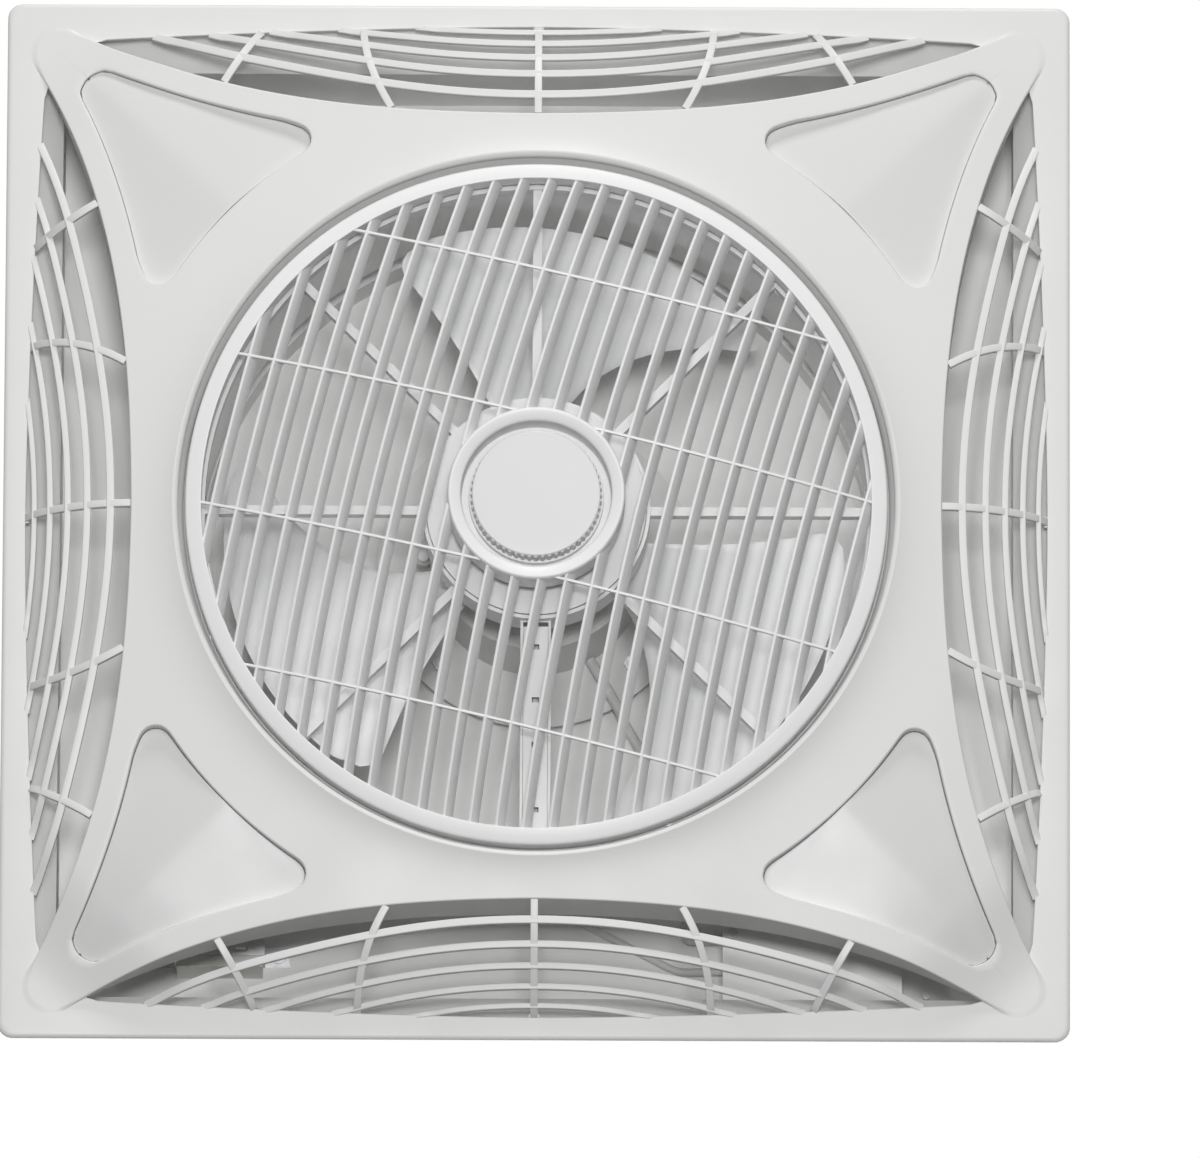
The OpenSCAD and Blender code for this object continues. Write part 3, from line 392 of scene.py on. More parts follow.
short_edge = edge_rows(np.array([[0.0, 0.0], [1.0, 0.0]]), 1, 5.0, 0.0, 1.0)
print("a rounded edge is", len(short_edge), "rows of points")

# %% [markdown]
# ### Border lines
#
# Both grids share the seam between them, point for point, or they couldn't be sewn. So the
# border lines are cut into fixed numbers of points first: the star's waist and its arm, the
# cover's arc and its side, and the seam, an arc from the star's edge to the cover's corner.
# A remesh would find such points by itself, but it would blur the sharp window corners.

# %% Border lines
EDGE, COVER_SEAM = 1.0, 0.4
ARM_COUNTS = [12, 22, 12]

star_in = moved(star_half, -EDGE)
cover_out = moved(cover_half, COVER_SEAM + EDGE)
ring_r = COVER_ARC - COVER_SEAM - EDGE
star_cross = nearest(star_in, star_in[np.argmin(np.abs(np.hypot(*star_in.T) - ring_r))])
arc_end = nearest(cover_out, ring_r * circle(np.radians(ARC_END)))
star_stops = [
    star_cross, nearest(star_in, [137, 232]), nearest(star_in, [WINDOW_END, 271]),
    lengths(star_in)[-1],
]
cover_stops = [
    arc_end, nearest(cover_out, [134, 222]), nearest(cover_out, [COVER_TIP, 258]),
    lengths(cover_out)[-1],
]
waist = samples(star_in, [0, star_cross], [14])
arm_star = samples(star_in, star_stops, ARM_COUNTS)
arm_cover = samples(cover_out, cover_stops, ARM_COUNTS)
cover_inner = samples(cover_out, [0, arc_end], [8])[::-1]
seam_ends = [np.arctan2(run[0, 1], run[0, 0]) for run in (arm_star, arm_cover)]
seam = ring_r * circle(np.linspace(*seam_ends, 8))
seam[0], seam[-1] = arm_star[0], arm_cover[0]
print("the seam is", round(lengths(seam)[-1], 1), "mm long")

# %% [markdown]
# ### Round the opening and along the arms
#
# The first grid runs outwards from the lip, and its rows lie closest there, because the dome
# bends most beside the lip. The second grid is straight lines from the star's edge to the cover,
# and its first ones are bowed to fit the seam.

# %% Panel skin
LIP_EDGE, LIP_DEEPER, LIP_WALL = 3.2, 1.3, 20.0

outer_run = np.concatenate([waist[:-1], seam, cover_inner[1:]])
lip_dir = circle(np.arctan2(outer_run[:, 1], outer_run[:, 0]))
face_share = np.linspace(0, 1, 12) ** 1.3
lip_run = lip_dir * (OPENING + LIP_EDGE)
face_plan = lip_run[None] + (outer_run - lip_run)[None] * face_share[:, None, None]
lip_top = dome_c(*lip_run.T)
lip_rows = [stack(*(lip_dir * OPENING).T, c) for c in (WALL_DOWN, LIP_WALL)]
for t in np.linspace(0, np.pi / 2, 8)[:0:-1]:
    lip_plan = lip_dir * (OPENING + LIP_EDGE * (1 - np.sin(t)))
    lip_rows.append(stack(*lip_plan.T, lip_top - LIP_DEEPER * LIP_EDGE * (1 - np.cos(t))))
skin = Surface().eight_ways(np.concatenate([np.array(lip_rows), on_dome(face_plan)]))

arm_share = np.linspace(0, 1, len(seam))
straight = arm_star[None] + (arm_cover - arm_star)[None] * arm_share[:, None, None]
bow = seam - (seam[0] + (seam[-1] - seam[0]) * arm_share[:, None])
calm = (1 - np.linspace(0, 1, len(arm_star))) ** 6
skin.eight_ways(on_dome(straight + bow[:, None] * calm[None, :, None]))
print("the skin has", skin.count, "points so far")

# %% [markdown]
# ### The star's edge and the covers' pockets
#
# The star's edge falls to the back of the wall where a window opens. Past the windows its edge
# grows wider and softer, and ends on the rim: in the photograph the tips melt into the corners.
# A bevel of one width couldn't do that, so each row takes its width from its place. Each cover
# lies in a pocket, whose side falls 8.5 mm from the dome.

# %% Panel edges
TIP_WIDER, TIP_BLEND, COVER_POCKET = 4.0, 20, 8.5

star_run = np.concatenate([waist[:-1], arm_star])
star_top = dome_c(*star_run.T)
at_window = star_run[:, 0] < WINDOW_END - 0.8
star_foot = np.where(at_window, WALL_DOWN, 0.0)
past = blend_step((star_run[:, 0] - WINDOW_END) / TIP_BLEND)
star_down = edge_rows(star_run, 1, star_top, star_foot, EDGE + TIP_WIDER * past, 8, past)
star_edge = np.concatenate([on_dome(star_run)[None], star_down])
star_edge[:, -1, :2] = star_edge[:, -1, :2].mean(-1, keepdims=True)
star_edge[:, 0, 0] = 0
skin.eight_ways(star_edge)
cover_run = np.concatenate([cover_inner[::-1][:-1], arm_cover])
cover_top = dome_c(*cover_run.T)
cover_down = edge_rows(cover_run, -1, cover_top, cover_top - COVER_POCKET, EDGE)
skin.eight_ways(np.concatenate([on_dome(cover_run)[None], cover_down]))
print("with its edges the skin has", skin.count, "points")

# %% [markdown]
# ### Flange
#
# The rim is a third grid, from the window or the star's foot out to the square's edge, which is
# rounded over 3 mm. A flat plate would nearly do. But the real rim falls by 0.3 mm towards its
# edge and rounds off there, and that draws a fine line of light round the whole panel.

# %% Flange
SQUARE_R, CORNER_AT = 8.0, 262.0
SQUARE_EDGE, SQUARE_DROP, FLANGE_FALL = 3.0, 1.8, 0.3
WINDOW_EDGE, WINDOW_FADE = 0.7, 10

foot_run = star_edge[-1][:, :2]
corner_foot = foot_run[~at_window]
meet = foot_run[at_window][-1]
rim_s = np.linspace(0, meet[0], 40)
rim_line = np.stack([rim_s, rim_p(rim_s)], -1)
rim_line[-1] = meet
inner_line = np.concatenate([rim_line, corner_foot])
rim_edge = WINDOW_EDGE * np.clip((meet[0] - inner_line[:, 0]) / WINDOW_FADE, 0, 1)
square_mid = HALF - SQUARE_R
square = np.concatenate(
    [[[0, HALF], [square_mid, HALF]], arc([square_mid, square_mid], SQUARE_R, 90, 45, 12)]
)
round_corner = np.linspace(CORNER_AT, lengths(square)[-1], len(corner_foot) + 1)[1:]
square_line = along(square, np.concatenate([rim_s / meet[0] * CORNER_AT, round_corner]))
flange = [stack(*inner_line.T, np.where(rim_edge > 0, WALL_DOWN, 0.0))]
for t in np.linspace(0, np.pi / 2, 5)[:0:-1]:
    edge_b = inner_line[:, 1] + rim_edge * (1 - np.sin(t))
    flange.append(stack(inner_line[:, 0], edge_b, -rim_edge * (1 - np.cos(t))))
inner = inner_line + np.stack([0 * rim_edge, rim_edge], -1)
outer = square_line * ((HALF - SQUARE_EDGE) / HALF)
for share in (0.0, 0.05, 0.35, 0.7, 0.95, 1.0):
    flange.append(stack(*(inner + (outer - inner) * share).T, -FLANGE_FALL * share**3))
for t in np.linspace(0, np.pi / 2, 8)[1:]:
    edge_c = -FLANGE_FALL - SQUARE_DROP * (1 - np.cos(t))
    flange.append(stack(*(outer + (square_line - outer) * np.sin(t)).T, edge_c))
flange.append(stack(*square_line.T, WALL_DOWN))
skin.eight_ways(np.array(flange))
print("the whole skin has", skin.count, "points")

# %% [markdown]
# ## Finishes
#
# Moulded plastic isn't one flat colour. Its gloss varies a little where the mould is worn or
# where hands have touched it, its colour drifts by a percent or two, and a very fine grain breaks
# its reflections. Painted pictures could show that, but they need unwrapping. Noise on the
# object's own coordinates needs none, and the pattern stays on the piece when it turns. Metals
# get streaks or speckle in the same way.

# %% Finish helpers
def noise(tree, scale, detail, stretch=(1, 1, 1)):
    """A noise pattern on the object's own coordinates, in metres; `stretch` draws it out."""
    place = tree.nodes.new("ShaderNodeTexCoord")
    turn = tree.nodes.new("ShaderNodeMapping")
    turn.inputs["Scale"].default_value = stretch
    pattern = tree.nodes.new("ShaderNodeTexNoise")
    pattern.inputs["Scale"].default_value = scale
    pattern.inputs["Detail"].default_value = detail
    tree.links.new(place.outputs["Object"], turn.inputs["Vector"])
    tree.links.new(turn.outputs["Vector"], pattern.inputs["Vector"])
    return pattern.outputs["Fac"]


def spread(tree, value, low, high):
    """Brings a pattern from its usual range, 0.3 to 0.7, to the range low to high."""
    ramp = tree.nodes.new("ShaderNodeMapRange")
    limits = {"From Min": 0.3, "From Max": 0.7, "To Min": low, "To Max": high}
    for socket, limit in limits.items():
        ramp.inputs[socket].default_value = limit
    tree.links.new(value, ramp.inputs["Value"])
    return ramp.outputs["Result"]


def finish(
    name, colour, other, rough, grain=900, depth=0.00002, drift=14, stretch=(1, 1, 1), **sockets
):
    """A finish whose colour drifts between two tones, whose gloss varies between two values, and
    whose grain is a bump of `depth` metres. What is even all over is set on the sockets."""
    material = bpy.data.materials.new(name)
    material.use_nodes = True
    tree = material.node_tree
    shader = tree.nodes["Principled BSDF"]
    mix = tree.nodes.new("ShaderNodeMix")
    mix.data_type = "RGBA"
    mix.inputs["A"].default_value = (*colour, 1)
    mix.inputs["B"].default_value = (*other, 1)
    slow = noise(tree, drift, 3, stretch)
    tree.links.new(spread(tree, slow, 0, 1), mix.inputs["Factor"])
    tree.links.new(mix.outputs["Result"], shader.inputs["Base Color"])
    fine = noise(tree, grain, 2, stretch)
    tree.links.new(spread(tree, slow, *rough), shader.inputs["Roughness"])
    bump = tree.nodes.new("ShaderNodeBump")
    bump.inputs["Strength"].default_value = 1
    bump.inputs["Distance"].default_value = depth
    tree.links.new(fine, bump.inputs["Height"])
    tree.links.new(bump.outputs["Normal"], shader.inputs["Normal"])
    for socket, value in sockets.items():
        shader.inputs[socket.replace("_", " ")].default_value = value
    return material


# %% [markdown]
# ### White plastics
#
# In the photograph the pieces are different whites. The panel is a warm white, the covers are a
# shade greyer, and the louver is the brightest of what shows in front: its white is raised above
# the knob's, though both are the louver's plastic, as painted light on the slats. The blades are
# milky.
# The duct, the housing and the blades are paler than the panel, partly their own pale white and
# partly painted light, so that much light comes back from inside the cavity.

# %% Plastics
panel_white = finish("panel_white", (0.725, 0.723, 0.717), (0.71, 0.708, 0.702), (0.42, 0.50))
cover_white = finish("cover_white", (0.685, 0.685, 0.68), (0.67, 0.67, 0.665), (0.36, 0.44))
# painted light: the louver's white is raised above the knob's, though both are the louver's
# plastic, so that the slats look lit
louver_white_painted_light = finish("louver_white_painted_light", (0.80, 0.80, 0.80), (0.785, 0.785, 0.785), (0.36, 0.44))
knob_white = finish("knob_white", (0.69, 0.69, 0.69), (0.675, 0.675, 0.675), (0.36, 0.44))
# painted shade: the spider's white is the duct's plastic made darker, so that its lit edges sink
# into the shade inside the ring
spider_white_painted_shade = finish("spider_white_painted_shade", (0.72, 0.72, 0.72), (0.70, 0.70, 0.70), (0.42, 0.52))
# painted light: the duct's white is raised, so that the inside of the cavity shows bright
duct_white_painted_light = finish("duct_white_painted_light", (0.90, 0.90, 0.895), (0.885, 0.885, 0.88), (0.36, 0.46))
# painted light: the blades' milky white is raised as well, to brighten the cavity
blade_milk_painted_light = finish(
    "blade_milk_painted_light", (0.88, 0.885, 0.885), (0.86, 0.865, 0.865), (0.48, 0.58),
    Transmission_Weight=0.12, IOR=1.5,
)
rubber = finish("rubber", (0.26, 0.26, 0.26), (0.30, 0.30, 0.30), (0.7, 0.85), depth=0.00006)
sheath = finish("sheath", (0.72, 0.72, 0.71), (0.68, 0.68, 0.67), (0.45, 0.6))
nylon = finish("nylon", (0.04, 0.04, 0.042), (0.06, 0.06, 0.062), (0.35, 0.5), depth=0.00005)
ivory = finish("ivory", (0.80, 0.79, 0.75), (0.76, 0.75, 0.71), (0.35, 0.5))
board_green = finish("board_green", (0.03, 0.18, 0.07), (0.05, 0.26, 0.10), (0.3, 0.5), drift=240)
print("made", len(bpy.data.materials), "plastics")

# %% [markdown]
# ### Metals and paints
#
# Paint on sheet has a coarser grain than moulded plastic. Zinc has a fine speckle. The stacked
# sheets of the motor's core and its copper wire show streaks, which come from noise stretched
# along the axis.

# %% Metals and paints
# painted light: the housing's coat is raised to the duct's white, so that the cavity's inside shows
# bright
housing_coat_painted_light = finish(
    "housing_coat_painted_light", (0.90, 0.90, 0.89), (0.885, 0.885, 0.875), (0.46, 0.58), grain=1500,
    depth=0.00006,
)
zinc = finish(
    "zinc", (0.74, 0.74, 0.75), (0.66, 0.66, 0.67), (0.45, 0.6), drift=160, grain=2400, Metallic=1.0
)
bearing_steel = finish(
    "bearing_steel", (0.66, 0.66, 0.67), (0.60, 0.60, 0.61), (0.12, 0.2), drift=300, Metallic=1.0
)
motor_paint = finish(
    "motor_paint", (0.80, 0.80, 0.79), (0.76, 0.76, 0.75), (0.42, 0.55), grain=1100, depth=0.00008
)
lamination = finish(
    "lamination", (0.20, 0.20, 0.21), (0.34, 0.34, 0.35), (0.4, 0.6), drift=60,
    stretch=(0.1, 0.1, 30), Metallic=1.0,
)
winding = finish(
    "winding", (0.55, 0.24, 0.09), (0.36, 0.14, 0.05), (0.25, 0.4), drift=120,
    stretch=(0.3, 0.3, 12), Metallic=0.9,
)
print("made", len(bpy.data.materials), "finishes in all")

# %% [markdown]
# ## Finishes for the solids that stay
#
# Most of what lies behind the louver has the right shape already, so its solids stay, and each
# one gets the finish of its slot. The spider and its covers get a darker copy of the duct's white
# as painted shade, so that their lit edges don't show inside the ring. The motor's plate is
# painted, because bare zinc glitters through the slats. The pieces that show most are replaced
# further on.

# %% Dress the solids
slot_finish = {
    "panel_plastic": panel_white,
    "cover_plastic": cover_white,
    "duct_plastic": duct_white_painted_light,
    "louver_plastic": louver_white_painted_light,
    "blade_plastic": blade_milk_painted_light,
    "housing_paint": housing_coat_painted_light,
    "zinc_steel": zinc,
    "bearing_steel": bearing_steel,
    "motor_metal": motor_paint,
    "lamination": lamination,
    "winding_copper": winding,
    "mount_rubber": rubber,
    "cable_sheath": sheath,
    "gland_plastic": nylon,
    "electrical_plastic": ivory,
    "board_laminate": board_green,
}
for part in frame["record"]["subparts"]:
    solid = nodes[part["node"]]
    solid.data.materials.clear()
    solid.data.materials.append(slot_finish[part["material_slot"]])
# painted shade: the spider and its covers take the darker copy of the duct's white
for name in ("spider_frame", "hub_cover", "channel_cover"):
    nodes[name].data.materials[0] = spider_white_painted_shade
nodes["motor_plate"].data.materials[0] = motor_paint

# %% [markdown]
# ## The panel
#
# The skin becomes one piece with a wall of 1.5 mm on its back. An open skin would look the same
# from the room. But the wall makes it a closed body, as every real moulding is, and its edges
# show in the windows.

# %% Panel piece
panel = make_piece("panel", skin, wall=1.5, sharp=30, up=-1)
dress(panel, "housing", "panel_plastic", panel_white, "front_panel")

# %% [markdown]
# ## Corner covers
#
# Each cover is two nearly flat faces that meet in a soft ridge along the diagonal. The ridge lies
# level with the panel in the middle. The two inner corners sink about 5 mm below it, and that is
# why the panel's edge throws a grey band there. The faces are ruled: straight lines go from each
# point of the outline to a point of the ridge.

# %% Cover pieces
COVER_EDGE, COVER_SIDE = 0.6, 3.0
RIDGE_SLOPE, RIDGE_SOFT, RIDGE_PULL = 0.105, 3.0, 0.35
SINK, SINK_MORE, SINK_FROM, SINK_OVER = 0.5, 1.8, 300, 45


def cover_c(a, b):
    """Height of a cover: the dome's, less 0.105 times the distance from the diagonal (rounded at
    the ridge), less a sink of 0.5 mm that grows by 1.8 mm towards the tip."""
    off = (b - a) / np.sqrt(2)
    ridge = RIDGE_SLOPE * (np.sqrt(off**2 + RIDGE_SOFT**2) - RIDGE_SOFT)
    sink = SINK + SINK_MORE * blend_step((np.hypot(a, b) - SINK_FROM) / SINK_OVER)
    return dome_c(a, b) - ridge - sink


cover_stops = [
    0, arc_end, nearest(cover_half, [134, 220]), nearest(cover_half, [COVER_TIP, 257]),
    lengths(cover_half)[-1] - 0.01,
]
cover_run = samples(moved(cover_half, -COVER_EDGE), cover_stops, [10, 14, 24, 12])
ends = cover_run[[0, -1]].mean(1)
ridge_at = np.interp(lengths(cover_run), [0, lengths(cover_run)[-1]], ends)
ridge_at = np.clip(ridge_at + RIDGE_PULL * (cover_run.mean(1) - ridge_at), *ends)
ridge_at[[0, -1]] = ends
ridge_run = np.stack([ridge_at, ridge_at], -1)
inward = np.linspace(0, 1, 14)
plan = cover_run[None] + (ridge_run - cover_run)[None] * inward[:, None, None]
cover_face = stack(plan[..., 0], plan[..., 1], cover_c(plan[..., 0], plan[..., 1]))
edge_c = cover_face[0, :, 2]
cover_edge = edge_rows(cover_run, 1, edge_c, edge_c - COVER_SIDE, COVER_EDGE, 4)
cover_half_face = np.concatenate([cover_edge[::-1], cover_face])
for turn, where in enumerate(("xp_yn", "xn_yn", "xn_yp", "xp_yp")):
    shell = Surface()
    for mirrored in (False, True):
        a, b = cover_half_face[..., int(mirrored)], cover_half_face[..., 1 - int(mirrored)]
        for _ in range(turn):
            a, b = -b, a
        shell.grid(stack(a, b, cover_half_face[..., 2]), flip=mirrored)
    cover = make_piece("cover_" + where, shell, wall=1.2, sharp=30, up=-1)
    dress(cover, "housing", "cover_plastic", cover_white, "corner_cover_" + where)

# %% [markdown]
# ## Side grilles
#
# Each intake grille is five bars that follow the star's edge and five ribs that cross them. A bar
# is a rounded profile carried along a curve. A curve object's bevel can do that too, but it turns
# the profile with the path. Here the profile stands upright all the way, because a mould has to
# open along the fan's axis. Each bar ends under the rim, where the real one runs into its frame.

# %% Bar helpers
def rounded_profile(width, height, radius, steps=3):
    """Corners of a rounded rectangle, as offsets (sideways, up): a quarter circle at each."""
    turn = np.radians(np.linspace(0, 90, steps + 1))
    quarters = []
    for k, (x, y) in enumerate(((1, 1), (-1, 1), (-1, -1), (1, -1))):
        at = turn + k * np.pi / 2
        centre = [x * (width / 2 - radius), y * (height / 2 - radius)]
        quarters.append(circle(at) * radius + centre)
    return np.concatenate(quarters)


def carried(path, profile):
    """The profile at each point of a path: its first offset goes sideways in plan, at a right
    angle to the path, and its second goes up."""
    tangent = np.gradient(path[:, :2], axis=0)
    tangent /= np.linalg.norm(tangent, axis=1, keepdims=True)
    side = np.concatenate([tangent[:, ::-1] * [1, -1], np.zeros((len(path), 1))], -1)
    up = np.array([0, 0, 1.0])
    return path[:, None] + profile[None, :, :1] * side[:, None] + profile[None, :, 1:] * up


print("a bar's cross-section has", len(rounded_profile(4.0, 4.0, 0.5)), "corners")

# %% [markdown]
# ### Where the bars lie
#
# In the photograph the bars start close to parallel with the star's edge, and they spread a
# little towards the corners. The whole grille is a slope from the dome down to the rim, and it
# curves like a quarter of an ellipse. So one formula gives a bar's place in plan and another its
# height. A drawn curve for every bar would work too, but it would be far more to measure.

# %% Grille formulas
GRILLE_RUN, BAR_SPREAD, SPREAD_RUN = 60.4, 8.0, 160


def grille_c(s, p):
    """Height of a grille at s along a side and p from the middle: the dome's height at the
    star's edge, times (1 - f^1.9)^0.8, where f goes from 0 at that edge to 1 at the rim."""
    f = np.clip((p - star_p(s)) / (rim_p(s) + 0.5 - star_p(s)), 0, 1)
    return dome_c(s, star_p(s)) * (1 - f**1.9) ** 0.8


def bar_p(share, s):
    """Place of a bar: its share of the 60.4 mm way at the middle, the star's sweep, and up to
    8 mm more, along a cosine, where the bars spread."""
    spread_out = BAR_SPREAD * (1 - np.cos(np.minimum(np.pi, np.abs(s) * np.pi / SPREAD_RUN))) / 2
    sweep = STAR_SWEEP * (np.abs(s) / ARM) ** STAR_POWER
    return STAR_MID + GRILLE_RUN * share + sweep + spread_out


print("a bar halfway down the slope starts", round(bar_p(0.5, 0), 1), "mm from the middle")

# %% [markdown]
# ### Bars, ribs and latches
#
# Near the rim the bars grow thinner, as they do in the photograph. The ribs run outwards, one in
# the middle and two on each side, and the second pair is bowed. A small latch at the rim holds
# the grille. One grille is worked out, and a quarter turn at a time gives the other three.

# %% Grille pieces
BAR_H, BAR_EDGE, BAR_SINK, RIB_W, RIB_SINK = 4.0, 0.5, 0.35, 4.2, 0.3
BARS = ((0.189, 4.4), (0.404, 4.0), (0.586, 3.7), (0.752, 3.4), (0.9, 3.0))
BOWED_RIB = 82
RIB_ENDS = ((0, 0), (BOWED_RIB, 98), (176, 155))
LATCH_W, LATCH_IN, LATCH_OUT, LATCH_C = 3.0, HALF - 14.5, HALF - 9.4, (-4.2, -0.9)

rib_profile = rounded_profile(RIB_W, BAR_H, BAR_EDGE)
latch = np.array(
    [[-LATCH_W, LATCH_IN], [LATCH_W, LATCH_IN], [LATCH_W, LATCH_OUT], [-LATCH_W, LATCH_OUT]]
)
long_s = np.linspace(0, WINDOW_END, 400)
for turn, where in enumerate(("yn", "xn", "yp", "xp")):
    bars = Surface()
    for share, width in BARS:
        inside = bar_p(share, long_s) < rim_p(long_s) + 1.0
        reach = long_s[inside][-1]
        s = np.linspace(-reach, reach, 61)
        p = bar_p(share, s)
        top = np.minimum(grille_c(s, p), grille_c(s, p + width / 2) + 1.2) - BAR_SINK
        profile = rounded_profile(width, BAR_H, BAR_EDGE)
        bars.tube(carried(stack(s, p, top - BAR_H / 2), profile))
    for at_star, at_rim in RIB_ENDS:
        for side in (1, -1) if at_star else (1,):
            u = np.linspace(0.004, 0.996, 16)
            bow = 1 - (1 - u) ** 2 if at_star == BOWED_RIB else u
            a = side * (at_star + (at_rim - at_star) * bow)
            b = star_p(at_star) + (rim_p(at_rim) + 0.6 - star_p(at_star)) * u
            top = grille_c(np.abs(a), b) - RIB_SINK
            bars.tube(carried(stack(a, b, top - BAR_H / 2), rib_profile))
    bars.tube(np.array([stack(*latch.T, c) for c in LATCH_C]))
    for points in bars.points:
        for _ in range(turn):
            points[:, :2] = points[:, [1, 0]] * [-1, 1]
    grille = make_piece("grille_" + where, bars, sharp=50)
    dress(grille, "housing", "panel_plastic", panel_white, "side_grille_" + where)

# %% [markdown]
# ## Revolved pieces
#
# The louver's ring, its hub and the knob are profiles turned about the axis. A profile is a
# closed run of (radius, height) pairs. A Bevel modifier could round its corners afterwards, but
# each corner of a moulding has its own radius, so they are rounded here by small curves.

# %% Revolve helpers
def soft_corners(corners, radii, steps=4):
    """A closed polygon with each corner replaced by a quadratic curve: from `radius` before the
    corner to `radius` after it, pulled towards the corner."""
    corners = np.asarray(corners, float)
    run = []
    for k, (corner, radius) in enumerate(zip(corners, radii)):
        before = corners[k - 1] - corner
        after = corners[(k + 1) % len(corners)] - corner
        start = corner + before / np.linalg.norm(before) * radius
        end = corner + after / np.linalg.norm(after) * radius
        t = np.linspace(0, 1, steps + 1)[:, None]
        run.append((1 - t) ** 2 * start + 2 * t * (1 - t) * corner + t**2 * end)
    return np.concatenate(run)


def turned(profile, count):
    """A profile of (radius, height) turned about the axis in `count` steps, as a grid of points:
    (radius cos turn, radius sin turn, height)."""
    turn = np.linspace(0, 2 * np.pi, count, endpoint=False)
    plan = circle(turn)[:, None] * profile[None, :, :1]
    return stack(plan[..., 0], plan[..., 1], profile[None, :, 1])


soft_square = soft_corners([[0, 0], [1, 0], [1, 1], [0, 1]], [0.2] * 4)
print("a square with soft corners has", len(soft_square), "points")

# %% [markdown]
# ## The louver
#
# 25 flat slats lean to one side. Their front edges follow a low dome, so a leaning slat looks
# bowed from the front, most of all in the middle. A slat's cross-section is a thin rounded bar.
# Straight slats could be cut to the ring with a Boolean, but here every edge of a slat simply
# ends where it meets the ring or the hub.

# %% Slat formulas
RING_IN, HUB_OUT, INTO_RING = 186.5, 49.5, 3.0
SLAT_TOP, SLAT_RISE, SLAT_DEPTH, SLAT_T, SLAT_EDGE = 40.0, 20.0, 10.0, 1.65, 0.25
LEAN = np.radians(25)


def louver_c(r):
    """Height of the slats' front at a distance r from the axis: 40 mm at the ring, rising by
    20 mm to the hub as (186.5^2 - r^2) / (186.5^2 - 49.5^2)."""
    climb = RING_IN**2 - np.minimum(r, RING_IN + 2 * INTO_RING) ** 2
    return SLAT_TOP + SLAT_RISE * climb / (RING_IN**2 - HUB_OUT**2)


def slat(d, t):
    """Rings of points of a slat that meets the ring's plane at distance d from the axis. t runs
    from -1 to 1 along it. Where the front rises, it moves aside by tan(lean) times the rise."""
    across = rounded_profile(SLAT_T, SLAT_DEPTH, SLAT_EDGE, 2) - [0, SLAT_DEPTH / 2]
    lean_a = across[:, 0] * np.cos(LEAN) - across[:, 1] * np.sin(LEAN)
    lean_c = across[:, 0] * np.sin(LEAN) + across[:, 1] * np.cos(LEAN)
    reach = np.sqrt(np.maximum(0, (RING_IN + INTO_RING) ** 2 - (d + lean_a) ** 2))
    b = t[:, None] * reach[None]
    a = np.full_like(b, d)
    for _ in range(3):
        a = d - np.tan(LEAN) * (louver_c(np.hypot(a, b)) - SLAT_TOP)
    return stack(a + lean_a, b, louver_c(np.hypot(a, b)) + lean_c)


steps = np.arange(-12, 13)
slat_places = 7.3 + 14.7 * steps - 0.039 * steps**2
print("the slats lie", np.diff(slat_places)[[0, -1]].round(1), "mm apart at the two ends")

# %% [markdown]
# ### Slats and cross bars
#
# The slats near the middle stop at the hub, so each of them is two pieces. A slat leans, so
# about halfway down its depth it lies 2.7 mm further aside, and there it is tested against the
# hub. One that would only graze the hub runs past it. Four thin bars cross the slats.

# %% Slats and cross bars
HUB_SHIFT, GRAZE, INTO_HUB = 2.7, 4.5, 2.5
CROSS_W, CROSS_H, CROSS_SINK, CROSS_IN = 1.6, 2.6, 1.2, 2.0
CROSS_AT = (-128.5, -44, 44, 128.5)
louver = Surface()
for d in slat_places:
    off_axis = d - np.tan(LEAN) * SLAT_RISE + HUB_SHIFT
    if abs(off_axis) < HUB_OUT - GRAZE:
        reach = np.sqrt((RING_IN + INTO_RING) ** 2 - d**2)
        start = np.sqrt((HUB_OUT - INTO_HUB) ** 2 - off_axis**2) / reach
        for side in (1, -1):
            louver.tube(slat(d, side * np.linspace(start, 1, 16)))
    else:
        louver.tube(slat(d, np.linspace(-1, 1, 31)))
cross_profile = rounded_profile(CROSS_W, CROSS_H, 0.5, 2)
for b in CROSS_AT:
    far = np.sqrt((RING_IN + INTO_RING) ** 2 - b**2)
    near = np.sqrt(max(0, (HUB_OUT - CROSS_IN) ** 2 - b**2))
    for run in [(-far, -near), (near, far)] if near else [(-far, far)]:
        a = np.linspace(*run, 33)
        path = stack(a, b, louver_c(np.hypot(a, b)) - CROSS_SINK)
        louver.tube(carried(path, cross_profile))
print("slats and bars have", louver.count, "points")

# %% [markdown]
# ### Ring and hub
#
# The ring and the hub are turned profiles: hollow rims with a floor in the hub. All parts of the
# louver overlap a little. A Boolean could fuse them, but one moulding shows no seams from
# outside, so the overlap looks the same. The whole is turned by 13.4 degrees, the way it stands
# in the photograph.

